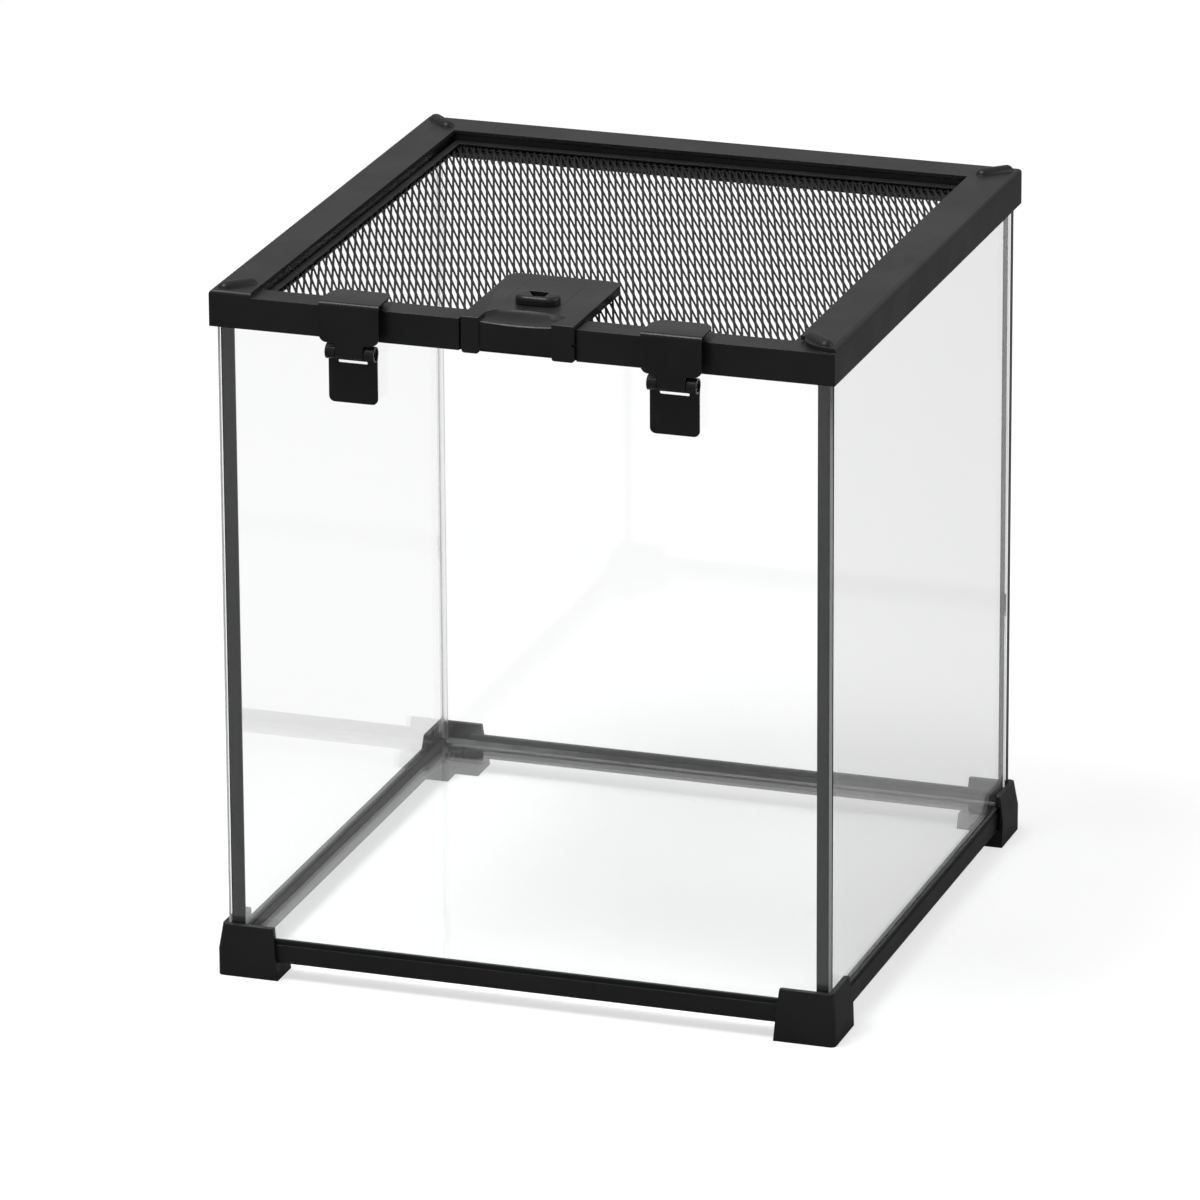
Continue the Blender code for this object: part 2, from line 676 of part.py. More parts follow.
def latch_mesh():
    """The handle: a hollow plate on the lid, a bridge over the rail, an apron and two ears."""
    half = LATCH_WIDTH / 2
    under = LID_TOP + FIT
    bridge = FRONT_TOP - NOTCH_DEPTH + FIT
    inner = RAIL_FRONT + LID_GAP_FRONT
    edge = arc((LATCH_EDGE - EAR_OUT, LATCH_TOP - LATCH_EDGE), LATCH_EDGE, 180, 90, 3)
    outline = [Vector((-EAR_OUT, EAR_BOTTOM))] + edge
    outline += [
        Vector((LATCH_REACH, LATCH_TOP)),
        Vector((LATCH_REACH, under)),
        Vector((inner, under)),
        Vector((inner, bridge)),
        Vector((-FIT, bridge)),
        Vector((-FIT, EAR_BOTTOM)),
    ]
    plate = cross_prism(outline, -half, half)
    left = -half + EAR_LEFT
    right = half - EAR_RIGHT
    recess = box((left, -2 * EAR_OUT, EAR_BOTTOM - WALL), (right, -APRON_OUT, LATCH_TOP + WALL))
    below = box((left, -2 * EAR_OUT, EAR_BOTTOM - WALL), (right, WALL, APRON_BOTTOM))
    plate = combine(combine(plate, recess), below)
    plate = combine(plate, scoop_cutter())
    for side in (-1, 1):
        turn = (0, 90) if side > 0 else (90, 180)
        middle = (side * (half - LATCH_ROUND), LATCH_REACH - LATCH_ROUND)
        rounding = arc(middle, LATCH_ROUND, *turn, 5)
        outside = Vector((side * (half + WALL), LATCH_REACH + WALL))
        ends = (
            [Vector((outside.x, middle[1])), outside, Vector((middle[0], outside.y))]
            if side > 0
            else [Vector((middle[0], outside.y)), outside, Vector((outside.x, middle[1]))]
        )
        corner = rounding + ends[::-1]
        plate = combine(plate, plan_prism(corner, LID_TOP - WALL, LATCH_TOP + WALL))
    pocket_half = half - POCKET_MARGIN
    pocket = box(
        (-pocket_half, inner + POCKET_MARGIN, LID_TOP - WALL),
        (pocket_half, LATCH_REACH - POCKET_MARGIN, LATCH_TOP - POCKET_ROOF),
    )
    plate = combine(plate, pocket)
    slot_length = NECK_LENGTH + LOCK_TRAVEL + 2 * FIT
    slot_middle = (SLOT_X, SLOT_FRONT + slot_length / 2)
    slot = plan_prism(
        rounded_box(SLOT_WIDTH, slot_length, 2 * MM, 3, slot_middle),
        LATCH_TOP - POCKET_ROOF - WALL,
        LATCH_TOP + WALL,
    )
    return combine(plate, slot)


def knob_mesh():
    """A pill-shaped knob with a soft top, on a neck and a peg. Its origin is under its middle."""
    radius = KNOB_DEPTH / 2 - 0.2 * MM
    bottom = FIT
    soft = KNOB_HEIGHT * 0.45
    rings = []
    for inset, z in [(0.0, bottom), (0.0, KNOB_HEIGHT - soft)] + [
        (soft * (1 - math.cos(math.radians(turn))), KNOB_HEIGHT - soft * (1 - math.sin(math.radians(turn))))
        for turn in (30, 55, 75, 90)
    ]:
        outline = rounded_box(KNOB_WIDTH - 2 * inset, KNOB_DEPTH - 2 * inset, radius - inset, 5)
        rings.append([Vector((x, y, z)) for x, y in outline])
    knob = loft(rings)
    neck_y = SLOT_FRONT + FIT + NECK_LENGTH / 2 - KNOB_Y
    neck_width = SLOT_WIDTH - 2 * FIT
    neck = plan_prism(
        rounded_box(neck_width, NECK_LENGTH, 1.7 * MM, 3, (SLOT_X, neck_y)), -POCKET_ROOF, 2 * FIT
    )
    knob = combine(knob, neck, "UNION")
    peg = plan_prism(
        arc((SLOT_X, neck_y), PEG_RADIUS, 0, 345, 23), -POCKET_ROOF - FIT - BOLT_THICK, -POCKET_ROOF / 2
    )
    return combine(knob, peg, "UNION")


def bolt_mesh():
    """The plate under the slot. It runs back from the neck, with a hole for the peg."""
    neck_y = SLOT_FRONT + FIT + NECK_LENGTH / 2 - KNOB_Y
    middle = (SLOT_X, neck_y + BOLT_LENGTH / 2 - NECK_LENGTH / 2)
    low = -POCKET_ROOF - FIT - BOLT_THICK
    plate = plan_prism(rounded_box(BOLT_WIDTH, BOLT_LENGTH, 2 * MM, 3, middle), low, low + BOLT_THICK)
    hole = plan_prism(
        arc((SLOT_X, neck_y), PEG_RADIUS + FIT, 0, 345, 23), low - WALL, low + BOLT_THICK + WALL
    )
    return combine(plate, hole)


def add_latch(plastic, hinge):
    front = -DEPTH / 2
    add("latch_plate", latch_mesh(), plastic, (LATCH_X, front, 0), hinge)
    place = (LATCH_X, front + KNOB_Y, LATCH_TOP)
    add("lock_knob", knob_mesh(), plastic, place, hinge)
    add("lock_bolt", bolt_mesh(), plastic, place, hinge)


def hook_mesh():
    """Sheet bent over the rail: a hemmed back end, a top leg, a plate and a tongue rolled to an eye."""
    half_sheet = CLIP_SHEET / 2
    leg = FRONT_TOP + FIT + half_sheet
    hem = LID_TOP + FIT + half_sheet
    roll = KNUCKLE_OUTER - half_sheet
    front = PIN_Y - roll
    turn_radius = (leg - hem) / 2
    hem_back = CLIP_BACK - turn_radius - half_sheet
    path = [Vector((RAIL_FRONT + 2 * LID_GAP_FRONT + WALL / 2, hem))]
    path += arc((hem_back, (leg + hem) / 2), turn_radius, -90, 90, 6)
    path += arc((front + CLIP_BEND, leg - CLIP_BEND), CLIP_BEND, 90, 180, 4)
    path += arc((PIN_Y, PIN_HEIGHT), roll, 180, 465, 16)
    hook = cross_prism(sheet_outline(path, CLIP_SHEET), -CLIP_WIDTH / 2, CLIP_WIDTH / 2)
    low = PIN_HEIGHT - 2 * KNUCKLE_OUTER
    for side in (-1, 1):
        outer = side * CLIP_WIDTH / 2
        inner = side * TONGUE_WIDTH / 2
        corner = arc((0, 0), PLATE_ROUND, 0, -90, 4)
        corner = [
            Vector((outer + side * (p.x - PLATE_ROUND), PLATE_BOTTOM + PLATE_ROUND + p.y)) for p in corner
        ]
        neck = [
            Vector((inner + side * (TONGUE_ROUND + p.x), PLATE_BOTTOM - TONGUE_ROUND + p.y))
            for p in arc((0, 0), TONGUE_ROUND, 90, 180, 3)
        ]
        outline = [Vector((outer + side * WALL, corner[0].y))] + corner + neck
        outline += [Vector((inner, low)), Vector((outer + side * WALL, low))]
        hook = combine(hook, front_prism(outline, PIN_Y - 2 * KNUCKLE_OUTER, 0))
        rounding = [
            Vector((outer + side * (p.x - CLIP_ROUND), CLIP_BACK - CLIP_ROUND + p.y))
            for p in arc((0, 0), CLIP_ROUND, 0, 90, 6)
        ]
        back = CLIP_BACK + WALL
        outside = [Vector((rounding[-1].x, back)), Vector((outer + side * WALL, back))]
        outside += [Vector((outer + side * WALL, rounding[0].y))]
        hook = combine(hook, plan_prism(rounding + outside, hem - WALL, leg + WALL))
    return hook


def lever_mesh():
    """A flat lever whose top is rolled over the pin, slotted for the hook's eye. Origin on the pin."""
    roll = KNUCKLE_OUTER - CLIP_SHEET / 2
    bottom = LEVER_BOTTOM - PIN_HEIGHT
    half = LEVER_WIDTH / 2
    path = [Vector((roll, bottom))] + arc((0, 0), roll, 0, 285, 16)
    lever = cross_prism(sheet_outline(path, CLIP_SHEET), -half, half)
    slot = TONGUE_WIDTH / 2 + KNUCKLE_GAP
    slot_bottom = LEVER_SLOT_BOTTOM - PIN_HEIGHT
    top = 2 * KNUCKLE_OUTER
    corner = arc((slot - TONGUE_ROUND / 2, slot_bottom + TONGUE_ROUND / 2), TONGUE_ROUND / 2, 0, -90, 3)
    outline = [Vector((slot, top))] + corner
    outline += [Vector((-p.x, p.y)) for p in corner[::-1]] + [Vector((-slot, top))]
    lever = combine(lever, front_prism(outline, -top, top))
    for side in (-1, 1):
        rounding = [
            Vector((side * (half - LEVER_ROUND + p.x), bottom + LEVER_ROUND + p.y))
            for p in arc((0, 0), LEVER_ROUND, 0, -90, 5)
        ]
        outside = [
            Vector((rounding[-1].x, bottom - WALL)),
            Vector((side * (half + WALL), bottom - WALL)),
            Vector((side * (half + WALL), rounding[0].y)),
        ]
        lever = combine(lever, front_prism(rounding + outside, -top, top))
    return lever


def pin_mesh():
    """A round pin with bevelled ends, along X, longer than the lever is wide."""
    half = LEVER_WIDTH / 2 + PIN_OVERHANG
    bevel = PIN_RADIUS * 0.3
    rings = []
    for x, radius in (
        (-half, PIN_RADIUS - bevel),
        (-half + bevel, PIN_RADIUS),
        (half - bevel, PIN_RADIUS),
        (half, PIN_RADIUS - bevel),
    ):
        rings.append([Vector((x, p.x, p.y)) for p in arc((0, 0), radius, 0, 345, 23)])
    return loft(rings)


def add_clips(metal, hinge):
    hook = hook_mesh()
    lever = lever_mesh()
    pin = pin_mesh()
    for name, x in zip(("left", "right"), CLIP_X):
        axis = (x, -DEPTH / 2 + PIN_Y, PIN_HEIGHT)
        add("clip_hook_" + name, hook, metal, (x, -DEPTH / 2, 0), hinge)
        add("clip_pin_" + name, pin, metal, axis, hinge)
        add("clip_lever_" + name, lever, metal, axis, hinge)


def main():
    clear_scene()
    glass = make_material("clear_glass", (0.93, 0.96, 0.95), 0.02, see_through=1.0)
    sealant = make_material("sealant", (0.045, 0.045, 0.047), 0.5)
    plastic = make_material("black_plastic", (0.02, 0.02, 0.021), 0.42)
    painted = make_material("black_painted_metal", (0.022, 0.022, 0.023), 0.4, metallic=0.3)
    add_glass(glass)
    add_seals(sealant)
    add_base_strips(plastic)
    add_feet(plastic)
    add_top_frame(plastic)
    hinge = bpy.data.objects.new("lid_hinge", None)
    hinge.location = PIVOT
    bpy.context.scene.collection.objects.link(hinge)
    add_lid_edging(painted, hinge)
    add_screen(painted, hinge)
    add_latch(plastic, hinge)
    add_clips(painted, hinge)


main()
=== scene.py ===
# %% [markdown]
# A glass terrarium, dressed for its portrait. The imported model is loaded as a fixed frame: its pieces are
# never moved or reshaped here. This lesson gives each of them a finish made of nodes, remakes the moulded
# and the bent parts with finer curves, and swaps the coarse screen for expanded metal with its full count
# of cells.

# %% Load the frame
import json
import math

import bmesh
import bpy
from mathutils import Matrix, Vector


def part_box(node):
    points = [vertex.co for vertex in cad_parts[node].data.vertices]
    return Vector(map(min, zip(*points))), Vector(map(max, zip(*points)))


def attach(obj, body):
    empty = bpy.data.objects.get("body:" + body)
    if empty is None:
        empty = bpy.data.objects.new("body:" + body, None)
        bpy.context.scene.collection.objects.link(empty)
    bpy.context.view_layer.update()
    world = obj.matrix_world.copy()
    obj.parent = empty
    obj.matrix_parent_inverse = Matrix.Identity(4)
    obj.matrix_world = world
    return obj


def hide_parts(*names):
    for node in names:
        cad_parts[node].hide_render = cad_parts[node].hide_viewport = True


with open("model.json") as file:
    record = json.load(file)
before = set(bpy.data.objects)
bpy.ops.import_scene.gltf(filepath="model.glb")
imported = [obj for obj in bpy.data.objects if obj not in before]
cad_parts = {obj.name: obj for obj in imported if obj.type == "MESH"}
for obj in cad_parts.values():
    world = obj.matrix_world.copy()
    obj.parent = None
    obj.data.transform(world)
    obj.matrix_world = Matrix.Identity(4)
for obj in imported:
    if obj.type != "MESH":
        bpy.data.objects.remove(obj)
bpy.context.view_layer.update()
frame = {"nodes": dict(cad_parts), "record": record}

MM = 0.001

# %% [markdown]
# The camera comes first, because every later choice is judged through it. A long lens from over four metres
# away keeps the rails almost parallel, as in a catalogue picture. It could be aimed with a Track To
# constraint, but a matrix written as turn, tilt and roll says exactly where it looks and never drifts.

# %% Camera
VIEW_PLACE = Vector((1.32451, -3.94087, 1.59729))
VIEW_TURN, VIEW_TILT, VIEW_ROLL = 0.3271, -0.3346, -0.0057
LENS_LONG, SENSOR_WIDE = 278.9, 36

lens = bpy.data.cameras.new("portrait_camera")
lens.lens = LENS_LONG
lens.sensor_width = SENSOR_WIDE
lens.clip_start = 0.1
lens.clip_end = 60
camera = bpy.data.objects.new("portrait_camera", lens)
bpy.context.scene.collection.objects.link(camera)
camera.matrix_world = (
    Matrix.Translation(VIEW_PLACE)
    @ Matrix.Rotation(VIEW_TURN, 4, "Z")
    @ Matrix.Rotation(math.pi / 2 + VIEW_TILT, 4, "X")
    @ Matrix.Rotation(VIEW_ROLL, 4, "Z")
)
bpy.context.scene.camera = camera
bpy.context.scene.view_settings.view_transform = "Standard"
print("camera is", round(VIEW_PLACE.length, 2), "m from the tank")

# %% [markdown]
# Materials are small node trees. They could be drawn by hand in the node editor, but a few helpers make
# them short to write and to read: one makes a node and fills its sockets, one does arithmetic and one blends
# colours.

# %% Node helpers
def put(tree, kind, **values):
    """A node of this kind. A value goes to the socket of that name, or to the node's own setting."""
    node = tree.nodes.new("ShaderNode" + kind)
    for name, value in values.items():
        label = name.replace("_", " ")
        if label in node.inputs:
            join(tree, value, node.inputs[label])
        else:
            setattr(node, name, value)
    return node


def join(tree, source, socket):
    """Links an output to a socket, or writes a plain value on it."""
    if isinstance(source, bpy.types.NodeSocket):
        tree.links.new(source, socket)
    else:
        socket.default_value = source


def maths(tree, operation, *terms, clamp=False):
    node = tree.nodes.new("ShaderNodeMath")
    node.operation = operation
    node.use_clamp = clamp
    for socket, term in zip(node.inputs, terms):
        join(tree, term, socket)
    return node.outputs[0]


def spread(tree, value, low, high, to_low=0.0, to_high=1.0):
    """Maps a value from one range to another, with a soft start and end."""
    node = tree.nodes.new("ShaderNodeMapRange")
    node.interpolation_type = "SMOOTHSTEP"
    for socket, term in zip(node.inputs, (value, low, high, to_low, to_high)):
        join(tree, term, socket)
    return node.outputs[0]


def blend_colours(tree, share, first, second):
    node = tree.nodes.new("ShaderNodeMix")
    node.data_type = "RGBA"
    join(tree, share, node.inputs[0])
    join(tree, first, node.inputs[6])
    join(tree, second, node.inputs[7])
    return node.outputs[2]


print("node helpers ready")

# %% [markdown]
# An effect that several finishes share is a node group: it is built once, and each material places it with
# its own values. In Blender its sockets belong to the group's interface, and not to its input and output
# nodes.

# %% Group helpers
def open_group(name, inputs, outputs):
    """A shader node group with float inputs, given with their defaults, and float outputs."""
    group = bpy.data.node_groups.new(name, "ShaderNodeTree")
    for label, value in inputs.items():
        socket = group.interface.new_socket(label, in_out="INPUT", socket_type="NodeSocketFloat")
        socket.default_value = value
    for label in outputs:
        group.interface.new_socket(label, in_out="OUTPUT", socket_type="NodeSocketFloat")
    return group, group.nodes.new("NodeGroupInput").outputs, group.nodes.new("NodeGroupOutput").inputs


def use_group(tree, group, **values):
    node = tree.nodes.new("ShaderNodeGroup")
    node.node_tree = group
    for name, value in values.items():
        join(tree, value, node.inputs[name.replace("_", " ")])
    return node.outputs


print("group helpers ready")

# %% [markdown]
# Moulded plastic has a fine spark-eroded grain from the tool's steel, and a slow drift of tone where the
# melt cooled unevenly. An image texture would need UVs. Two noises in object space need none, and they stay
# put when the lid tilts.

# %% Group: moulded grain
def place_in(tree):
    return put(tree, "TexCoord").outputs["Object"]


grain_sizes = {"Grain Scale": 2600.0, "Drift Scale": 22.0}
grain, asked, given = open_group("moulded_grain", grain_sizes, ["Height", "Drift"])
fine = put(grain, "TexNoise", Vector=place_in(grain), Scale=asked["Grain Scale"], Detail=2.0, Roughness=0.6)
slow = put(grain, "TexNoise", Vector=place_in(grain), Scale=asked["Drift Scale"], Detail=3.0, Roughness=0.55)
grain.links.new(fine.outputs[0], given["Height"])
grain.links.new(spread(grain, slow.outputs[0], 0.3, 0.7), given["Drift"])
print("group:", grain.name)

# %% [markdown]
# Edges of handled parts turn a little paler and smoother, in patches. The mask compares the true normal with
# the normal of a tiny bevel: they differ only near an edge. A noise breaks the line up.

# %% Group: rubbed edges
rubbed, asked, given = open_group("rubbed_edges", {"Radius": 0.0006, "Patch Scale": 60.0}, ["Mask"])
soft = put(rubbed, "Bevel", samples=4, Radius=asked["Radius"])
hard = put(rubbed, "NewGeometry")
turned = put(rubbed, "VectorMath", operation="DOT_PRODUCT")
rubbed.links.new(soft.outputs[0], turned.inputs[0])
rubbed.links.new(hard.outputs["Normal"], turned.inputs[1])
edge = spread(rubbed, turned.outputs["Value"], 0.995, 0.8)
patch = put(rubbed, "TexNoise", Vector=place_in(rubbed), Scale=asked["Patch Scale"], Detail=4.0)
broken = maths(rubbed, "MULTIPLY", edge, spread(rubbed, patch.outputs[0], 0.35, 0.65, 0.25, 1.0))
rubbed.links.new(broken, given["Mask"])
print("group:", rubbed.name)

# %% [markdown]
# Dust settles on faces that look up. The object's own normal is read, not the world's, so the dust stays on
# the same face when the lid is tilted.

# %% Group: settled dust
dust, asked, given = open_group("settled_dust", {"Amount": 0.1}, ["Mask"])
facing = put(dust, "SeparateXYZ")
dust.links.new(put(dust, "TexCoord").outputs["Normal"], facing.inputs[0])
upward = spread(dust, facing.outputs[2], 0.55, 0.98)
cloud = put(dust, "TexNoise", Vector=place_in(dust), Scale=45.0, Detail=6.0, Roughness=0.65)
laid = maths(dust, "MULTIPLY", upward, spread(dust, cloud.outputs[0], 0.38, 0.72, 0.3, 1.0))
dust.links.new(maths(dust, "MULTIPLY", laid, asked["Amount"]), given["Mask"])
print("group:", dust.name)

# %% [markdown]
# All the moulded parts share one recipe: near-black plastic with a satin skin. The base colour is very dark
# because most of what the eye sees on black plastic is reflected light. The specular level is set below the
# usual half, since a grained skin throws less of it back.

# %% Finish: moulded plastic
BLACK_DARK, BLACK_PALE = (0.009, 0.009, 0.0092), (0.012, 0.012, 0.0123)
# The groove colour is painted shade, laid into the engraved groove where shade would fall.
WORN_BLACK, DUST_GREY, GROOVE_PAINTED_SHADE = (0.05, 0.05, 0.05, 1), (0.2, 0.2, 0.195, 1), (0.004, 0.004, 0.004, 1)
SKIN_SPECULAR = 0.28


def new_finish(name):
    finish = bpy.data.materials.new(name)
    finish.use_nodes = True
    return finish, finish.node_tree, finish.node_tree.nodes["Principled BSDF"]


def moulded(name, dark, pale, gloss=0.4, grain_depth=0.012, dusty=0.06, engraving=None):
    finish, tree, shader = new_finish(name)
    skin = use_group(tree, grain)
    worn = use_group(tree, rubbed)["Mask"]
    settled = use_group(tree, dust, Amount=dusty)["Mask"]
    colour = blend_colours(tree, skin["Drift"], (*dark, 1), (*pale, 1))
    colour = blend_colours(tree, maths(tree, "MULTIPLY", worn, 0.25), colour, WORN_BLACK)
    colour = blend_colours(tree, settled, colour, DUST_GREY)
    height = maths(tree, "MULTIPLY", skin["Height"], grain_depth)
    if engraving:
        # The engraving sinks its groove with the bump and darkens it with painted shade.
        line = engraving(tree)
        colour = blend_colours(tree, maths(tree, "MULTIPLY", line, 0.85), colour, GROOVE_PAINTED_SHADE)
        height = maths(tree, "SUBTRACT", height, line)
    join(tree, colour, shader.inputs["Base Color"])
    rough = spread(tree, skin["Drift"], 0.0, 1.0, gloss - 0.04, gloss + 0.05)
    rough = maths(tree, "SUBTRACT", rough, maths(tree, "MULTIPLY", worn, 0.08))
    join(tree, maths(tree, "ADD", rough, maths(tree, "MULTIPLY", settled, 0.4)), shader.inputs["Roughness"])
    shader.inputs["Specular IOR Level"].default_value = SKIN_SPECULAR
    rounded = put(tree, "Bevel", samples=4, Radius=0.00045)
    bump = put(tree, "Bump", Strength=0.35, Distance=0.0004, Height=height, Normal=rounded.outputs[0])
    join(tree, bump.outputs[0], shader.inputs["Normal"])
    return finish


black_plastic = moulded("black_plastic", BLACK_DARK, BLACK_PALE)
foot_plastic = moulded("foot_plastic", BLACK_DARK, BLACK_PALE, gloss=0.42, dusty=0.03)
print("finishes:", black_plastic.name, foot_plastic.name)

# %% [markdown]
# The latch plate carries a fine engraved outline, a rectangle with round corners behind the knob. It could
# be cut into the mesh, but the groove is only about half a millimetre wide, so a distance field drawn with
# maths nodes gives the bump, and a dark line of painted shade in the groove, at any zoom.

# %% Group: engraved outline
OUTLINE_MIDDLE = (-0.0012, -0.1062)
OUTLINE_HALF = (0.0138, 0.0178)
OUTLINE_CORNER = 0.0035
GROOVE_SHORE, GROOVE_BED = 0.0004, 0.00008


def engraved_outline(tree):
    outline, _, given = open_group("engraved_outline", {}, ["Mask"])
    here = put(outline, "SeparateXYZ")
    outline.links.new(place_in(outline), here.inputs[0])
    past = []
    for axis in (0, 1):
        off = maths(outline, "SUBTRACT", here.outputs[axis], OUTLINE_MIDDLE[axis])
        straight = OUTLINE_HALF[axis] - OUTLINE_CORNER
        past.append(maths(outline, "SUBTRACT", maths(outline, "ABSOLUTE", off), straight))
    outside = [maths(outline, "MAXIMUM", value, 0.0) for value in past]
    squares = maths(outline, "ADD", *[maths(outline, "MULTIPLY", value, value) for value in outside])
    inside = maths(outline, "MINIMUM", maths(outline, "MAXIMUM", *past), 0.0)
    distance = maths(outline, "ADD", maths(outline, "SQRT", squares), inside)
    away = maths(outline, "ABSOLUTE", maths(outline, "SUBTRACT", distance, OUTLINE_CORNER))
    facing = put(outline, "SeparateXYZ")
    outline.links.new(put(outline, "TexCoord").outputs["Normal"], facing.inputs[0])
    top = spread(outline, facing.outputs[2], 0.9, 0.98)
    line = maths(outline, "MULTIPLY", spread(outline, away, GROOVE_SHORE, GROOVE_BED), top)
    outline.links.new(line, given["Mask"])
    return use_group(tree, outline)["Mask"]


latch_plastic = moulded("latch_plastic", BLACK_DARK, BLACK_PALE, gloss=0.34, engraving=engraved_outline)
print("finish:", latch_plastic.name)

# %% [markdown]
# The clips, the rolled edging and the screen are steel under a black powder coat. The powder melts into a
# skin with a faint orange peel, smoother than the moulded grain, so edges catch a crisper highlight.

# %% Finish: powder coat
WORN_COAT = (0.06, 0.06, 0.062, 1)


def coated(name, dark, pale, gloss, peel=1100.0, dusty=0.05):
    finish, tree, shader = new_finish(name)
    skin = use_group(tree, grain, Grain_Scale=peel, Drift_Scale=35.0)
    worn = use_group(tree, rubbed, Radius=0.0004, Patch_Scale=140.0)["Mask"]
    settled = use_group(tree, dust, Amount=dusty)["Mask"]
    colour = blend_colours(tree, skin["Drift"], (*dark, 1), (*pale, 1))
    colour = blend_colours(tree, maths(tree, "MULTIPLY", worn, 0.3), colour, WORN_COAT)
    colour = blend_colours(tree, settled, colour, DUST_GREY)
    join(tree, colour, shader.inputs["Base Color"])
    rough = spread(tree, skin["Drift"], 0.0, 1.0, gloss - 0.03, gloss + 0.05)
    rough = maths(tree, "SUBTRACT", rough, maths(tree, "MULTIPLY", worn, 0.1))
    join(tree, rough, shader.inputs["Roughness"])
    shader.inputs["Specular IOR Level"].default_value = SKIN_SPECULAR
    rounded = put(tree, "Bevel", samples=4, Radius=0.0003)
    bump = put(tree, "Bump", Strength=0.3, Distance=0.0003, Height=skin["Height"], Normal=rounded.outputs[0])
    join(tree, bump.outputs[0], shader.inputs["Normal"])
    return finish


clip_coat = coated("clip_coat", (0.008, 0.008, 0.0082), (0.011, 0.011, 0.0113), 0.3)
edging_coat = coated("edging_coat", BLACK_DARK, BLACK_PALE, 0.42)
screen_coat = coated("screen_coat", (0.006, 0.006, 0.0062), BLACK_DARK, 0.5, peel=1900.0, dusty=0.02)
print("finishes:", clip_coat.name, edging_coat.name, screen_coat.name)

# %% [markdown]
# The glass is clear float glass, a little green in its depth. Lamps must shine through it, or the tank would
# stand in its own shadow: for shadow rays the shader gives way to a Transparent one. Faint wiping marks live
# in the roughness, where real ones show only in a reflection. The ends of the front and back panes show at
# the corners: a mask on the object's own normal finds them, and makes them ground, or dark where the bond
# lies behind them.

# %% Finish: float glass
CLEAR_TINT = (0.984, 0.987, 0.9855, 1)
SHADOW_TINT = (0.93, 0.95, 0.94, 1)
BOND_TINT = (0.03, 0.032, 0.031, 1)


def float_glass(name, end_tint=CLEAR_TINT, end_rough=0.0):
    finish, tree, shader = new_finish(name)
    facing = put(tree, "SeparateXYZ")
    tree.links.new(put(tree, "TexCoord").outputs["Normal"], facing.inputs[0])
    is_end = spread(tree, maths(tree, "ABSOLUTE", facing.outputs[0]), 0.6, 0.9)
    wiped = put(tree, "TexWave", Vector=place_in(tree), Scale=3.0, Distortion=9.0, Detail=4.0)
    smear = put(tree, "TexNoise", Vector=place_in(tree), Scale=14.0, Detail=5.0, Roughness=0.6)
    marks = maths(tree, "MULTIPLY", wiped.outputs[1], spread(tree, smear.outputs[0], 0.45, 0.75))
    tint = CLEAR_TINT if end_tint == CLEAR_TINT else blend_colours(tree, is_end, CLEAR_TINT, end_tint)
    join(tree, tint, shader.inputs["Base Color"])
    haze = maths(tree, "MULTIPLY_ADD", is_end, end_rough, maths(tree, "MULTIPLY", marks, 0.04))
    join(tree, haze, shader.inputs["Roughness"])
    shader.inputs["Transmission Weight"].default_value = 1.0
    shader.inputs["IOR"].default_value = 1.5
    clear = put(tree, "BsdfTransparent", Color=SHADOW_TINT)
    lamp = put(tree, "LightPath")
    both = put(tree, "MixShader")
    join(tree, lamp.outputs["Is Shadow Ray"], both.inputs[0])
    join(tree, shader.outputs[0], both.inputs[1])
    join(tree, clear.outputs[0], both.inputs[2])
    join(tree, both.outputs[0], tree.nodes["Material Output"].inputs[0])
    return finish


GLASS_OF = {
    "front_glass": float_glass("front_pane", end_rough=0.7),
    "back_glass": float_glass("back_pane", end_tint=BOND_TINT, end_rough=0.3),
}
clear_glass = float_glass("float_glass")
print("finishes:", [finish.name for finish in GLASS_OF.values()], clear_glass.name)

# %% [markdown]
# The panes are bonded with dark silicone, apart from the far left corner, which shows as clear. Silicone is
# drawn along the joint with a finger or a spatula, which leaves long shallow ripples, and it stays slightly
# rubbery in its shine.

# %% Finish: silicone
def silicone(name, dark, pale, clearness=0.0):
    finish, tree, shader = new_finish(name)
    drawn = put(tree, "Mapping", Scale=(160.0, 160.0, 30.0))
    tree.links.new(place_in(tree), drawn.inputs[0])
    ripple = put(tree, "TexNoise", Vector=drawn.outputs[0], Scale=1.0, Detail=3.0)
    tone = blend_colours(tree, ripple.outputs[0], (*dark, 1), (*pale, 1))
    join(tree, tone, shader.inputs["Base Color"])
    join(tree, spread(tree, ripple.outputs[0], 0.3, 0.7, 0.34, 0.46), shader.inputs["Roughness"])
    shader.inputs["Specular IOR Level"].default_value = 0.25
    shader.inputs["Transmission Weight"].default_value = clearness
    shader.inputs["IOR"].default_value = 1.41
    bump = put(tree, "Bump", Strength=0.4, Distance=0.0008, Height=ripple.outputs[0])
    join(tree, bump.outputs[0], shader.inputs["Normal"])
    return finish


sealant = silicone("dark_silicone", (0.015, 0.015, 0.0154), (0.022, 0.022, 0.0226))
clear_sealant = silicone("clear_silicone", (0.95, 0.955, 0.95), (0.98, 0.98, 0.975), clearness=1.0)
print("finishes:", sealant.name, clear_sealant.name)

# %% [markdown]
# Each node of the frame now gets its finish. The table goes by the start of a node's name, so that the four
# feet or the two clips need only one line. A later line wins over an earlier one.

# %% Dress the frame
FINISH_OF = {
    "seal_": sealant,
    "seal_back_left": clear_sealant,
    "floor_seal": sealant,
    "base_strip_": black_plastic,
    "foot_": foot_plastic,
    "top_frame": black_plastic,
    "lid_edging": edging_coat,
    "mesh_screen": screen_coat,
    "latch_plate": latch_plastic,
    "lock_": latch_plastic,
    "clip_": clip_coat,
}
for name, piece in frame["nodes"].items():
    finish = GLASS_OF.get(name, clear_glass)
    for start, one in FINISH_OF.items():
        if name.startswith(start):
            finish = one
    piece.data.materials.clear()
    piece.data.materials.append(finish)
print("dressed", len(frame["nodes"]), "nodes")

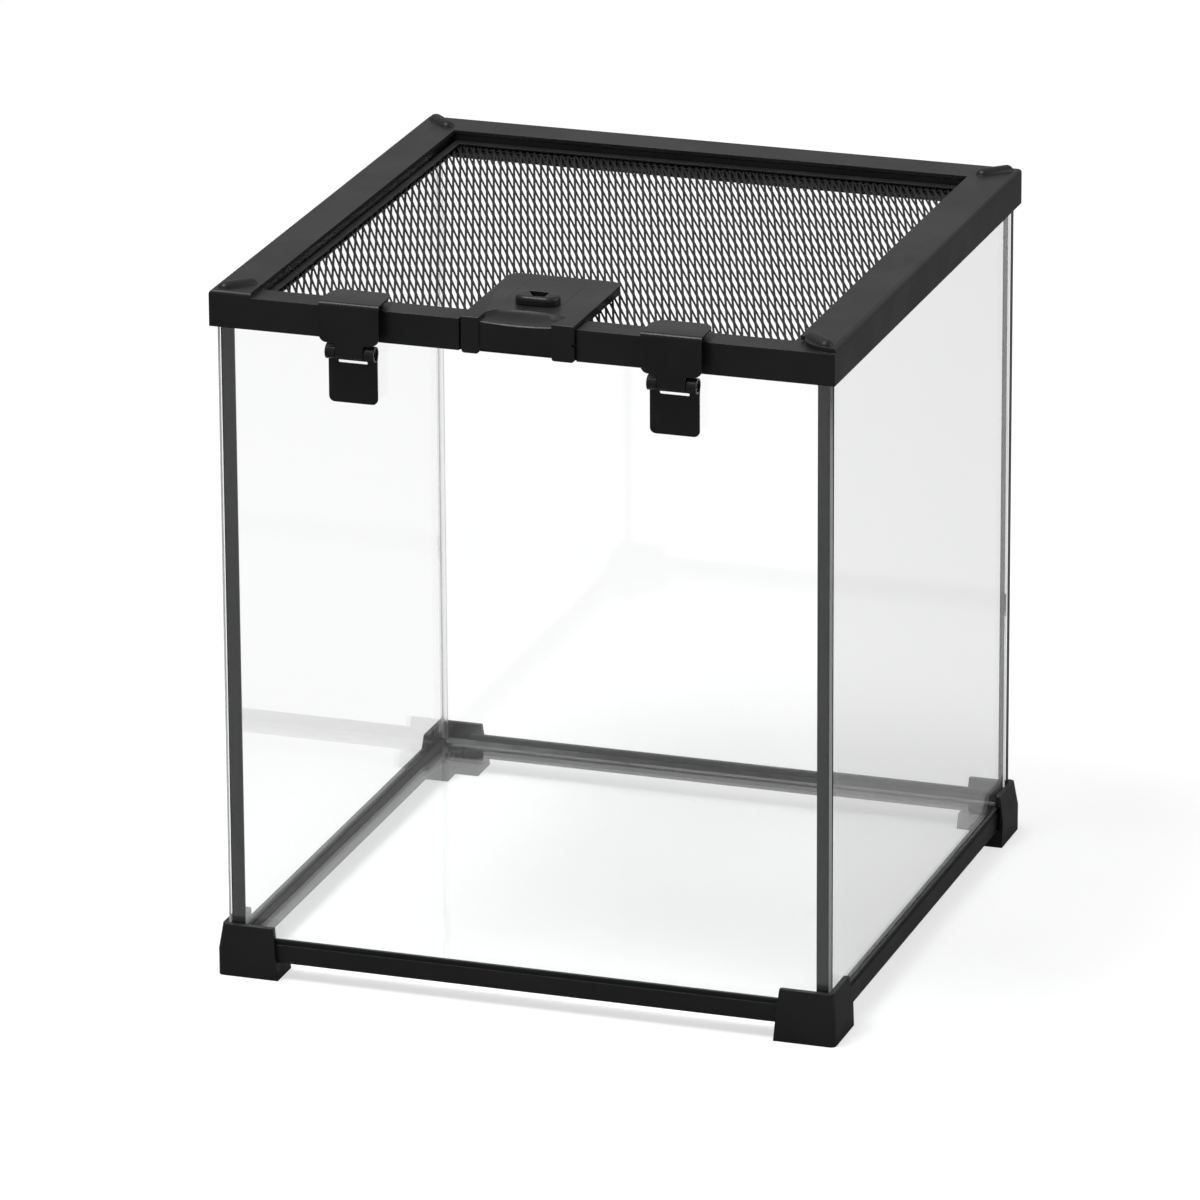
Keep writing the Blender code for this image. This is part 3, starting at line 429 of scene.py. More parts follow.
# %% [markdown]
# The CAD solids are kept light, so the moulded and the bent parts are remade here with finer curves, after a
# closer look at the picture. Each shape is drawn in millimetres as an outline or a set of rings, and bridged
# into a closed solid. Edit mode would do for one such part, but a foot made in code is used four times.

# %% Shapes from outlines
def arc(centre, radius, start, end, steps):
    """Points of a circular or, with a pair of radii, an elliptical arc, both ends included."""
    across, along = radius if isinstance(radius, tuple) else (radius, radius)
    turns = [math.radians(start + (end - start) * step / steps) for step in range(steps + 1)]
    return [Vector((centre[0] + across * math.cos(t), centre[1] + along * math.sin(t))) for t in turns]


def circle(radius, centre=(0, 0), points=40):
    return arc(centre, radius, 0, 360 - 360 / points, points - 1)


def rounded_box(width, depth, radius, steps=8, centre=(0, 0)):
    points = []
    for turn, (side, end) in zip((0, 90, 180, 270), ((1, 1), (-1, 1), (-1, -1), (1, -1))):
        middle = (centre[0] + side * (width / 2 - radius), centre[1] + end * (depth / 2 - radius))
        points += arc(middle, radius, turn, turn + 90, steps)
    return points


def loft(rings, closed=False):
    """A solid through rings of equal point counts, with flat ends unless it closes on itself."""
    shape = bmesh.new()
    rows = [[shape.verts.new(point) for point in ring] for ring in rings]
    pairs = list(zip(rows, rows[1:])) + ([(rows[-1], rows[0])] if closed else [])
    for low_row, high_row in pairs:
        for here in range(len(low_row)):
            there = (here + 1) % len(low_row)
            shape.faces.new((low_row[here], low_row[there], high_row[there], high_row[here]))
    if not closed:
        shape.faces.new(rows[0])
        shape.faces.new(rows[-1])
    bmesh.ops.recalc_face_normals(shape, faces=shape.faces)
    mesh = bpy.data.meshes.new("shape")
    shape.to_mesh(mesh)
    shape.free()
    return mesh


def plan_prism(outline, bottom, top):
    """An outline in X and Y, raised from bottom to top."""
    return loft([[Vector((x, y, z)) for x, y in outline] for z in (bottom, top)])


def cross_prism(outline, left, right):
    """An outline in Y and Z, run along X."""
    return loft([[Vector((x, y, z)) for y, z in outline] for x in (left, right)])


def front_prism(outline, front, back):
    """An outline in X and Z, run along Y."""
    return loft([[Vector((x, y, z)) for x, z in outline] for y in (front, back)])


def block(low, high):
    outline = ((low[0], low[1]), (high[0], low[1]), (high[0], high[1]), (low[0], high[1]))
    return plan_prism(outline, low[2], high[2])


print("outline tools ready")

# %% [markdown]
# Pockets, notches and round corners are cut with Booleans. Bevel modifiers could round the corners too,
# but a cutter with an arc on it gives one chosen corner its own radius. The exact solver is the default in
# Blender and keeps thin walls clean. Most cutters reach CUT millimetres past the surface that they open.

# %% Cutting and joining
CUT = 2.2


def combine(base, tool, operation="DIFFERENCE"):
    """The mesh of base after a Boolean with tool."""
    holders = []
    for mesh in (base, tool):
        holder = bpy.data.objects.new("holder", mesh)
        bpy.context.scene.collection.objects.link(holder)
        holders.append(holder)
    modifier = holders[0].modifiers.new("Boolean", "BOOLEAN")
    modifier.operation = operation
    modifier.object = holders[1]
    graph = bpy.context.evaluated_depsgraph_get()
    result = bpy.data.meshes.new_from_object(holders[0].evaluated_get(graph))
    for holder in holders:
        bpy.data.objects.remove(holder)
    return result


def lower_corner(x, z, side, radius, front, back):
    """Cutter for a round lower corner at x, z in what faces the front. The side is 1 at its right end."""
    quarter = arc((0, 0), radius, 0, -90, 8)
    rounding = [Vector((x + side * (p.x - radius), z + radius + p.y)) for p in quarter]
    outside = [
        Vector((rounding[-1].x, z - CUT)),
        Vector((x + side * CUT, z - CUT)),
        Vector((x + side * CUT, rounding[0].y)),
    ]
    return front_prism(rounding + outside, front, back)


def rear_corner(x, y, side, radius, bottom, top):
    """Cutter for a round rear corner at x, y in what lies flat."""
    quarter = arc((0, 0), radius, 0, 90, 10)
    rounding = [Vector((x + side * (p.x - radius), y - radius + p.y)) for p in quarter]
    outside = [
        Vector((rounding[-1].x, y + CUT)),
        Vector((x + side * CUT, y + CUT)),
        Vector((x + side * CUT, rounding[0].y)),
    ]
    return plan_prism(rounding + outside, bottom, top)


print("cutting tools ready")

# %% [markdown]
# A remade part stands for the CAD solid of the same name, which it hides: it rides on the same body. Its
# mesh is scaled from millimetres to metres once, here. Shading is smooth except over sharp angles.

# %% Seat a remade part
WIDTH = DEPTH = 300.0
SHARP_FROM = 35
BODY_OF = {node: body for body, nodes in frame["record"]["behaviour"]["bodies"].items() for node in nodes}


def seat_part(node, mesh, finish, place=(0, 0, 0), turn=0.0):
    """Puts a mesh drawn round place, in millimetres, into the scene instead of a CAD node."""
    part = bpy.data.objects.new("fine_" + node, mesh.copy())
    part.data.transform(
        Matrix.Scale(MM, 4) @ Matrix.Translation(place) @ Matrix.Rotation(math.radians(turn), 4, "Z")
    )
    part.data.materials.clear()
    part.data.materials.append(finish)
    part.data.shade_smooth()
    part.data.set_sharp_from_angle(angle=math.radians(SHARP_FROM))
    bpy.context.scene.collection.objects.link(part)
    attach(part, BODY_OF[node])
    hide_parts(node)
    return part


CORNER_SIGNS = {"front_left": (-1, -1), "front_right": (1, -1), "back_right": (1, 1), "back_left": (-1, 1)}

# %% [markdown]
# The feet are L-shaped mouldings with a break in their walls: upright below, drafted inwards above. The
# glass stands in them, and the base strips end in a socket in each arm.

# %% Feet
FIT = 0.3
GLASS_FACE, GLASS_UNDER = 3.0, 11.9
STRIP_LOW, STRIP_HIGH, STRIP_IN, STRIP_END = 8.4, 20.0, 1.2, 20.0
FOOT_HIGH, FOOT_BREAK, FOOT_OUT, FOOT_DRAFT = 25.2, 13.0, 1.5, 1.7
FOOT_ARM, FOOT_ARM_TOP, FOOT_DEEP = 28.4, 25.9, 16.7
FOOT_CORNER, SOCKET_GAP = 2.6, 0.8


def foot_ring(z, out, arm):
    points = arc((FOOT_CORNER - out, FOOT_CORNER - out), FOOT_CORNER, 180, 270, 8)
    points += [(arm, -out), (arm, FOOT_DEEP), (FOOT_DEEP, FOOT_DEEP), (FOOT_DEEP, arm), (-out, arm)]
    return [Vector((x, y, z)) for x, y in points]


def foot_shape():
    share = FOOT_BREAK / FOOT_HIGH
    foot = loft(
        [
            foot_ring(0, FOOT_OUT, FOOT_ARM),
            foot_ring(FOOT_BREAK, FOOT_OUT, FOOT_ARM + (FOOT_ARM_TOP - FOOT_ARM) * share),
            foot_ring(FOOT_HIGH, FOOT_OUT - FOOT_DRAFT, FOOT_ARM_TOP),
        ]
    )
    face, under, far, above = GLASS_FACE - FIT, GLASS_UNDER - FIT, FOOT_DEEP + CUT, FOOT_HIGH + CUT
    reach = FOOT_ARM + CUT
    seat = [(face, under), (face, above), (far, above), (far, under)]
    foot = combine(
        foot,
        loft(
            [
                [Vector((reach, inset, z)) for inset, z in seat],
                [Vector((inset, inset, z)) for inset, z in seat],
                [Vector((inset, reach, z)) for inset, z in seat],
            ]
        ),
    )
    out, low, step = STRIP_IN - SOCKET_GAP, STRIP_LOW - FIT, GLASS_FACE
    socket = [
        (out, low),
        (out, STRIP_HIGH + FIT),
        (step, STRIP_HIGH + FIT),
        (step, GLASS_UNDER),
        (far, GLASS_UNDER),
        (far, low),
    ]
    ends = (STRIP_END - FIT, reach)
    foot = combine(foot, loft([[Vector((x, inset, z)) for inset, z in socket] for x in ends]))
    return combine(foot, loft([[Vector((inset, y, z)) for inset, z in socket] for y in ends]))


foot = foot_shape()
for turns, (corner, (x_sign, y_sign)) in enumerate(CORNER_SIGNS.items()):
    seat_part("foot_" + corner, foot, foot_plastic, (x_sign * WIDTH / 2, y_sign * DEPTH / 2, 0), 90 * turns)
print("a foot has", len(foot.polygons), "faces")

# %% [markdown]
# The base strips are extrusions: one section along each side. The slot under the lip is what draws the dark
# line between two pale ones below the glass.

# %% Base strips
STRIP_LIP, STRIP_SLOT, STRIP_SLOT_DEEP, STRIP_SHELF = 0.8, 2.0, 0.8, 13.0
SIDE_TURN = {"front": 0, "right": 90, "back": 180, "left": 270}


def strip_shape():
    lip = STRIP_HIGH - STRIP_LIP
    deep = STRIP_IN + STRIP_SLOT_DEEP
    face = GLASS_FACE - FIT
    section = [
        (STRIP_IN, STRIP_LOW),
        (STRIP_IN, lip - STRIP_SLOT),
        (deep, lip - STRIP_SLOT),
        (deep, lip),
        (STRIP_IN, lip),
        (STRIP_IN, STRIP_HIGH),
        (face, STRIP_HIGH),
        (face, GLASS_UNDER - FIT),
        (STRIP_SHELF, GLASS_UNDER - FIT),
        (STRIP_SHELF, STRIP_LOW),
    ]
    half = WIDTH / 2 - STRIP_END
    return cross_prism(section, -half, half)


strip = strip_shape()
for side, turn in SIDE_TURN.items():
    middle = Matrix.Rotation(math.radians(turn), 3, "Z") @ Vector((0, -DEPTH / 2, 0))
    seat_part("base_strip_" + side, strip, black_plastic, middle, turn)
print("strips run", WIDTH - 2 * STRIP_END, "mm between the sockets")

# %% [markdown]
# The top frame is one moulding. Its four rails have their own sections, which meet in mitres, so the ring is
# a loft through the four corners: every corner takes its X from one rail's section and its Y from the next.

# %% Top frame ring
HEIGHT = 336.0
FRAME_LOW, FRONT_HIGH, LID_SEAT = 318.5, 333.6, 328.0
RAIL_SIDE, RAIL_BACK, RAIL_FRONT = 20.7, 21.0, 14.7
RAIL_ROUND, LIP, SIDE_UNDERCUT, PLAIN_UNDERCUT = 2.2, 2.0, 2.4, 0.2
LEDGE_SIDE, LEDGE_FRONT, LEDGE_BACK, LEDGE_THICK = 0.2, 5.0, 12.0, 2.0
GLASS_IN, POCKET_HIGH, SKIRT_RISE, SKIRT_WALL = 7.5, 330.6, 1.6, 2.2


def rail_section(rail, undercut, ledge):
    """One rail as (inset, height) points, from its outer face inwards."""
    slot_out, slot_in = GLASS_FACE - FIT, GLASS_IN + FIT
    skirt, skirt_low = slot_in + SKIRT_WALL, FRAME_LOW + SKIRT_RISE
    inner = rail - undercut
    rounding = arc((RAIL_ROUND, HEIGHT - RAIL_ROUND), RAIL_ROUND, 180, 90, 8)
    return [(0, FRAME_LOW)] + [tuple(point) for point in rounding] + [
        (rail, HEIGHT),
        (rail, HEIGHT - LIP),
        (inner, HEIGHT - LIP),
        (inner, LID_SEAT),
        (rail + ledge, LID_SEAT),
        (rail + ledge, LID_SEAT - LEDGE_THICK),
        (inner - SKIRT_WALL, LID_SEAT - LEDGE_THICK),
        (inner - SKIRT_WALL, POCKET_HIGH),
        (skirt, POCKET_HIGH),
        (skirt, skirt_low),
        (slot_in, skirt_low),
        (slot_in, POCKET_HIGH),
        (slot_out, POCKET_HIGH),
        (slot_out, FRAME_LOW),
    ]


def mitred_ring(sections):
    rings = []
    for first, second, x_sign, y_sign in (
        ("left", "front", -1, -1),
        ("right", "front", 1, -1),
        ("right", "back", 1, 1),
        ("left", "back", -1, 1),
    ):
        pairs = zip(sections[first], sections[second])
        rings.append(
            [Vector((x_sign * (WIDTH / 2 - a[0]), y_sign * (DEPTH / 2 - b[0]), a[1])) for a, b in pairs]
        )
    return loft(rings, closed=True)


rails = mitred_ring(
    {
        "front": rail_section(RAIL_FRONT, PLAIN_UNDERCUT, LEDGE_FRONT),
        "right": rail_section(RAIL_SIDE, SIDE_UNDERCUT, LEDGE_SIDE),
        "back": rail_section(RAIL_BACK, PLAIN_UNDERCUT, LEDGE_BACK),
        "left": rail_section(RAIL_SIDE, SIDE_UNDERCUT, LEDGE_SIDE),
    }
)
print("the ring has", len(rails.polygons), "faces")

# %% [markdown]
# The front rail is lower than the others, and its right end sweeps round the raised rail in a quarter
# ellipse. A notch makes room for the latch. On each corner lies a soft capsule, set a little into the rail.

# %% Top frame cuts and ribs
LATCH_X, LATCH_WIDE = 0.2, 54.4
NOTCH_DEEP, NOTCH_FACE, NOTCH_LEFT, NOTCH_RIGHT = 1.6, 1.5, 1.6, 0.35
END_SWEEP, END_REACH = (15.0, 13.1), 3.0
RIB_LONG, RIB_WIDE, RIB_HIGH, RIB_SUNK, RIB_IN = 20.0, 7.6, 2.6, 1.2, 10.4


def front_step():
    """Plan of what is cut down to the low front rail."""
    left, inner, right = -WIDTH / 2 + RAIL_SIDE - PLAIN_UNDERCUT, WIDTH / 2 - RAIL_SIDE, WIDTH / 2
    front, back = -DEPTH / 2, RAIL_FRONT - DEPTH / 2
    sweep = arc((right - END_REACH, back), END_SWEEP, 270, 180, 16)
    outline = [(left, front - CUT), (right + CUT, front - CUT), (right + CUT, sweep[0].y), *sweep]
    outline += [(inner - CUT / 2, back + CUT / 2), (left + CUT / 2, back + CUT / 2), (left, back)]
    return plan_prism(outline, FRONT_HIGH, HEIGHT + LIP)


def latch_notch():
    front, over, under = -DEPTH / 2, FRONT_HIGH - NOTCH_DEEP, FRAME_LOW - CUT
    face, back = front + NOTCH_FACE, front + RAIL_FRONT + CUT
    outline = [(front - CUT, under), (face, under), (face, over), (back, over), (back, HEIGHT)]
    outline.append((front - CUT, HEIGHT))
    half = LATCH_WIDE / 2
    return cross_prism(outline, LATCH_X - half - NOTCH_LEFT, LATCH_X + half + NOTCH_RIGHT)


def rib_shape():
    rib = bmesh.new()
    bmesh.ops.create_uvsphere(rib, u_segments=32, v_segments=16, radius=1)
    bmesh.ops.rotate(rib, verts=rib.verts, matrix=Matrix.Rotation(math.radians(90), 3, "Y"))
    straight = (RIB_LONG - RIB_WIDE) / 2
    for vert in rib.verts:
        end = straight if vert.co.x > 0 else -straight
        across, tall = RIB_WIDE / 2, RIB_HIGH + RIB_SUNK
        vert.co = Vector((vert.co.x * across + end, vert.co.y * across, vert.co.z * tall))
    bmesh.ops.translate(rib, verts=rib.verts, vec=(0, 0, -RIB_SUNK))
    mesh = bpy.data.meshes.new("rib")
    rib.to_mesh(mesh)
    rib.free()
    return mesh


rails = combine(combine(rails, front_step()), latch_notch())
for x_sign, y_sign in CORNER_SIGNS.values():
    rib = rib_shape()
    spot = Matrix.Translation((x_sign * (WIDTH / 2 - RIB_IN), y_sign * (DEPTH / 2 - RIB_IN), HEIGHT))
    rib.transform(spot @ Matrix.Rotation(math.radians(45 * x_sign * y_sign), 4, "Z"))
    rails = combine(rails, rib, "UNION")
seat_part("top_frame", rails, black_plastic)
print("the top frame has", len(rails.polygons), "faces")

# %% [markdown]
# The latch plate is a shallow tray turned upside down: a flat handle on the lid, a bridge over the rail, and
# in front a short apron between two ears. Its side section is run across, and the rest is cut away.

# %% Latch plate and its front
LID_HIGH, LATCH_HIGH, LATCH_REACH, LATCH_CORNER, LATCH_EDGE = 331.3, 335.7, 68.5, 6.0, 0.9
EAR_LEFT, EAR_RIGHT, EAR_OUT, EAR_LOW, EAR_ROUND, EAR_EDGE = 8.7, 11.2, 2.0, 318.3, 1.6, 0.8
APRON_OUT, APRON_HIGH, APRON_LOW, APRON_SAG, APRON_EDGE = 1.1, 333.1, 320.5, 0.7, 0.5
LATCH_HALF = LATCH_WIDE / 2
APRON_ENDS = (EAR_LEFT - LATCH_HALF, LATCH_HALF - EAR_RIGHT)
RAIL_CLEAR = 0.4


def latch_section():
    bridge, inner, back = FRONT_HIGH - NOTCH_DEEP + FIT, RAIL_FRONT + RAIL_CLEAR, NOTCH_FACE - FIT
    edge = arc((LATCH_EDGE - EAR_OUT, LATCH_HIGH - LATCH_EDGE), LATCH_EDGE, 180, 90, 6)
    outline = [(-EAR_OUT, EAR_LOW), *edge, (LATCH_REACH, LATCH_HIGH), (LATCH_REACH, LID_HIGH + FIT)]
    outline += [(inner, LID_HIGH + FIT), (inner, bridge), (back, bridge), (back, EAR_LOW)]
    return cross_prism(outline, -LATCH_HALF, LATCH_HALF)


def ear_edges():
    """Plan of what is cut from the front: the apron lies behind two ears with round edges."""
    left, right = APRON_ENDS
    y = EAR_EDGE - EAR_OUT
    outline = [(-LATCH_HALF - CUT, y)]
    for low_x, high_x in ((-LATCH_HALF, left), (right, LATCH_HALF)):
        outline += arc((low_x + EAR_EDGE, y), EAR_EDGE, 180, 265, 6)
        outline += [(low_x + EAR_EDGE, -EAR_OUT - FIT), (high_x - EAR_EDGE, -EAR_OUT - FIT)]
        outline += arc((high_x - EAR_EDGE, y), EAR_EDGE, 275, 360, 6)
        if high_x == left:
            outline += [(left, -APRON_OUT), (right, -APRON_OUT)]
    outline += [(LATCH_HALF + CUT, y), (LATCH_HALF + CUT, -2 * EAR_OUT), (-LATCH_HALF - CUT, -2 * EAR_OUT)]
    return plan_prism(outline, EAR_LOW - CUT, LATCH_HIGH + CUT)


latch = combine(latch_section(), ear_edges())
below_low = (APRON_ENDS[0], -2 * EAR_OUT, EAR_LOW - CUT)
below_high = (APRON_ENDS[1], NOTCH_FACE + CUT, APRON_LOW)
latch = combine(latch, block(below_low, below_high))
print("the latch is", LATCH_REACH + EAR_OUT, "mm deep")

# %% [markdown]
# The thumb scoop is the hardest form of the part: its floor rises from a front edge that sags in the middle,
# up to a wall that leans back round an arc. A sculpted dent would wander. A loft of side sections, each a
# little different from the last, keeps the floor fair and the rim crisp.

# %% Thumb scoop
SCOOP_REACH, SCOOP_RADIUS, SCOOP_TURNS = 14.0, 50.0, (67, 108)
SCOOP_FALL, SCOOP_SLOPE, SCOOP_TAPER, SCOOP_RETURN = 1.7, 2.2, 0.96, 0.6


def scoop_cutter():
    left, right = APRON_ENDS
    rim = arc((0, SCOOP_REACH - SCOOP_RADIUS), SCOOP_RADIUS, *SCOOP_TURNS, 20)
    rim.append(Vector((left, rim[-1].y * SCOOP_RETURN)))
    front, edge_y = -2 * EAR_OUT, APRON_EDGE - APRON_OUT
    rings = []
    for place, lip in enumerate(rim):
        share = place / (len(rim) - 1)
        x = right + (left - right) * share
        edge = APRON_HIGH + APRON_SAG * (2 * share - 1) ** 2
        y = lip.y - SCOOP_SLOPE
        rise = (LATCH_HIGH - SCOOP_FALL - edge) * (y - edge_y) / (SCOOP_REACH - SCOOP_SLOPE - edge_y)
        rings.append(
            [
                Vector((x, front, edge - (edge_y - front))),
                Vector((x, edge_y, edge)),
                Vector((lip.x * SCOOP_TAPER, y, edge + rise)),
                Vector((lip.x, lip.y, LATCH_HIGH)),
                Vector((lip.x, lip.y, LATCH_HIGH + LIP)),
                Vector((x, front, LATCH_HIGH + LIP)),
            ]
        )
    return loft(rings)


latch = combine(latch, scoop_cutter())
print("the scoop's rim turns through", SCOOP_TURNS[1] - SCOOP_TURNS[0], "degrees")

# %% [markdown]
# What is left to cut from the latch: the ears' round corners, a nick in the right edge, the rear corners,
# the hollow underside and the slot that the lock slides in.

# %% Latch corners, hollow and slot
NICK, NICK_DROP, ROOF, HOLLOW_MARGIN = 1.4, 8.8, 1.8, 6.0
SLOT_X, SLOT_WIDE, SLOT_ROUND, SLOT_FRONT, LOCK_TRAVEL, NECK_LONG = -3.9, 10.0, 2.0, 23.2, 12.0, 8.4

for x, side in ((-LATCH_HALF, -1), (APRON_ENDS[0], 1), (APRON_ENDS[1], -1), (LATCH_HALF, 1)):
    latch = combine(latch, lower_corner(x, EAR_LOW, side, EAR_ROUND, -2 * EAR_OUT, NOTCH_FACE + CUT))
nick_high = LATCH_HIGH - NICK_DROP
nick = block((LATCH_HALF - NICK, -2 * EAR_OUT, nick_high - NICK), (LATCH_HALF + CUT, 0, nick_high))
latch = combine(latch, nick)
below, above = LID_HIGH - CUT, LATCH_HIGH + CUT
for side in (-1, 1):
    corner = rear_corner(side * LATCH_HALF, LATCH_REACH, side, LATCH_CORNER, below, above)
    latch = combine(latch, corner)
hollow = block(
    (HOLLOW_MARGIN - LATCH_HALF, RAIL_FRONT + HOLLOW_MARGIN, LID_HIGH - CUT),
    (LATCH_HALF - HOLLOW_MARGIN, LATCH_REACH - HOLLOW_MARGIN, LATCH_HIGH - ROOF),
)
latch = combine(latch, hollow)
slot_long = NECK_LONG + LOCK_TRAVEL + 2 * FIT
slot_outline = rounded_box(SLOT_WIDE, slot_long, SLOT_ROUND, 6, (SLOT_X, SLOT_FRONT + slot_long / 2))
latch = combine(latch, plan_prism(slot_outline, LATCH_HIGH - ROOF - CUT, LATCH_HIGH + CUT))
seat_part("latch_plate", latch, latch_plastic, (LATCH_X, -DEPTH / 2, 0))
print("the latch has", len(latch.polygons), "faces")

# %% [markdown]
# The knob is a pill whose top edge is a quarter circle, built ring by ring. Its grip is a pocket with
# slanting corners, given as shares of the knob's width and depth. The neck goes down through the slot to the
# bolt under the plate, which stays the CAD solid.

# %% Knob
KNOB_WIDE, KNOB_DEEP, KNOB_HIGH, KNOB_ROUND, KNOB_SOFT, KNOB_Y = 21.0, 12.0, 4.4, 5.8, 2.0, 27.0
KNOB_POCKET = ((-0.257, 0.275), (0.219, 0.292), (0.21, -0.317), (-0.048, -0.358))
KNOB_POCKET_DEEP, PEG_RADIUS, BOLT_THICK = 2.5, 1.7, 1.4


def knob_shape():
    rings = []
    curve = [(KNOB_SOFT - p.x, KNOB_HIGH - KNOB_SOFT + p.y) for p in arc((0, 0), KNOB_SOFT, 0, 90, 8)]
    for inset, z in [(0.0, FIT)] + curve:
        outline = rounded_box(KNOB_WIDE - 2 * inset, KNOB_DEEP - 2 * inset, KNOB_ROUND - inset, 10)
        rings.append([Vector((x, y, z)) for x, y in outline])
    pocket = [(KNOB_WIDE * x, KNOB_DEEP * y) for x, y in KNOB_POCKET]
    knob = combine(loft(rings), plan_prism(pocket, KNOB_HIGH - KNOB_POCKET_DEEP, KNOB_HIGH + LIP))
    neck_y = SLOT_FRONT + FIT + NECK_LONG / 2 - KNOB_Y
    neck = rounded_box(SLOT_WIDE - 2 * FIT, NECK_LONG, SLOT_ROUND - FIT, 6, (SLOT_X, neck_y))
    knob = combine(knob, plan_prism(neck, -ROOF, 2 * FIT), "UNION")
    peg = plan_prism(circle(PEG_RADIUS, (SLOT_X, neck_y)), -ROOF - FIT - BOLT_THICK, -ROOF / 2)
    return combine(knob, peg, "UNION")


knob = knob_shape()
seat_part("lock_knob", knob, latch_plastic, (LATCH_X, KNOB_Y - DEPTH / 2, LATCH_HIGH))
print("the knob has", len(knob.polygons), "faces")

# %% [markdown]
# The clips are pressed from sheet. A sheet part is its middle line, thickened: the hook's line runs from a
# flange on the lid over the rail, down in front of it, and round the pin in an eye.

# %% Clip hooks
CLIP_X = {"left": -79.6, "right": 74.8}
CLIP_SHEET, CLIP_WIDE, CLIP_BACK, CLIP_ROUND, CLIP_BEND, CLIP_LIFT = 0.9, 29.0, 16.2, 9.5, 2.0, 3.1
PIN_RADIUS, PIN_Y, PIN_HIGH = 2.45, -2.9, 313.4
KNUCKLE = PIN_RADIUS + FIT + CLIP_SHEET
PLATE_LOW, PLATE_ROUND = PIN_HIGH + KNUCKLE + 1.3, 3.6
TONGUE_WIDE, TONGUE_ROUND, HOOK_ROLL_END = 13.5, 1.2, 465


def sheet_outline(path):
    """The outline of a strip of sheet whose middle line runs along path, in Y and Z."""
    outer, inner = [], []
    for place, point in enumerate(path):
        before = (point - path[place - 1]).normalized() if place else None
        after = (path[place + 1] - point).normalized() if place + 1 < len(path) else before
        before = before or after
        run = (before + after).normalized()
        half = CLIP_SHEET / 2 / run.dot(before)
        outer.append(point + Vector((-run.y, run.x)) * half)
        inner.append(point - Vector((-run.y, run.x)) * half)
    return outer + inner[::-1]


def hook_shape():
    half_sheet, half = CLIP_SHEET / 2, CLIP_WIDE / 2
    leg = FRONT_HIGH + CLIP_LIFT + half_sheet
    bend, roll, flange = CLIP_BEND - half_sheet, KNUCKLE - half_sheet, CLIP_BACK - half_sheet
    front = PIN_Y - roll
    path = [Vector((flange, LID_HIGH + FIT))]
    path += arc((flange - bend, leg - bend), bend, 0, 90, 8)
    path += arc((front + bend, leg - bend), bend, 90, 180, 8)
    path += arc((PIN_Y, PIN_HIGH), roll, 180, HOOK_ROLL_END, 32)
    hook = cross_prism(sheet_outline(path), -half, half)
    for side in (-1, 1):
        outer, inner, low = side * half, side * TONGUE_WIDE / 2, PIN_HIGH - 2 * KNUCKLE
        corner = [
            Vector((outer + side * (p.x - PLATE_ROUND), PLATE_LOW + PLATE_ROUND + p.y))
            for p in arc((0, 0), PLATE_ROUND, 0, -90, 8)
        ]
        neck = [
            Vector((inner + side * (TONGUE_ROUND + p.x), PLATE_LOW - TONGUE_ROUND + p.y))
            for p in arc((0, 0), TONGUE_ROUND, 90, 180, 5)
        ]
        outline = [Vector((outer + side * CUT, corner[0].y)), *corner, *neck]
        outline += [Vector((inner, low)), Vector((outer + side * CUT, low))]
        hook = combine(hook, front_prism(outline, PIN_Y - 2 * KNUCKLE, 2 * CUT))
        hook = combine(hook, rear_corner(outer, CLIP_BACK, side, CLIP_ROUND, LID_HIGH - CUT, leg + CUT))
    return hook


hook = hook_shape()
for name, x in CLIP_X.items():
    seat_part("clip_hook_" + name, hook, clip_coat, (x, -DEPTH / 2, 0))
print("a hook has", len(hook.polygons), "faces")

# %% [markdown]
# The lever hangs from two knuckles rolled over the same pin, one on each side of the hook's eye. A short
# joggle under the knuckles brings its plate forward of the glass. The pin is a tube with bevelled ends.

# %% Clip levers and pins
LEVER_WIDE, LEVER_LONG, LEVER_ROUND, LEVER_PLANE, JOGGLE = 23.6, 24.8, 2.7, 2.05, 4.4
LEVER_ROLL_START, LEVER_ROLL_END, EYE_GAP, SLOT_DROP = -38, 285, 0.35, 2.2
PIN_BORE, PIN_BEVEL, PIN_SETBACK = 1.3, 0.4, 0.6


def lever_shape():
    """A slotted plate, with its origin on the pin."""
    roll, half, top = KNUCKLE - CLIP_SHEET / 2, LEVER_WIDE / 2, 2 * KNUCKLE
    path = [Vector((LEVER_PLANE, -LEVER_LONG)), Vector((LEVER_PLANE, -JOGGLE))]
    path += arc((0, 0), roll, LEVER_ROLL_START, LEVER_ROLL_END, 32)
    lever = cross_prism(sheet_outline(path), -half, half)
    slot, slot_low, soft = TONGUE_WIDE / 2 + EYE_GAP, -KNUCKLE - SLOT_DROP, TONGUE_ROUND / 2
    corner = arc((slot - soft, slot_low + soft), soft, 0, -90, 5)
    outline = [Vector((slot, top)), *corner]
    outline += [Vector((-p.x, p.y)) for p in outline[::-1]]
    lever = combine(lever, front_prism(outline, -top, top))
    for side in (-1, 1):
        lever = combine(lever, lower_corner(side * half, -LEVER_LONG, side, LEVER_ROUND, -top, top))
    return lever


def pin_shape():
    half = LEVER_WIDE / 2 - PIN_SETBACK
    section = [
        (-half, PIN_BORE),
        (-half, PIN_RADIUS - PIN_BEVEL),
        (PIN_BEVEL - half, PIN_RADIUS),
        (half - PIN_BEVEL, PIN_RADIUS),
        (half, PIN_RADIUS - PIN_BEVEL),
        (half, PIN_BORE),
    ]
    return loft([[Vector((x, p.x * r, p.y * r)) for x, r in section] for p in circle(1)], closed=True)


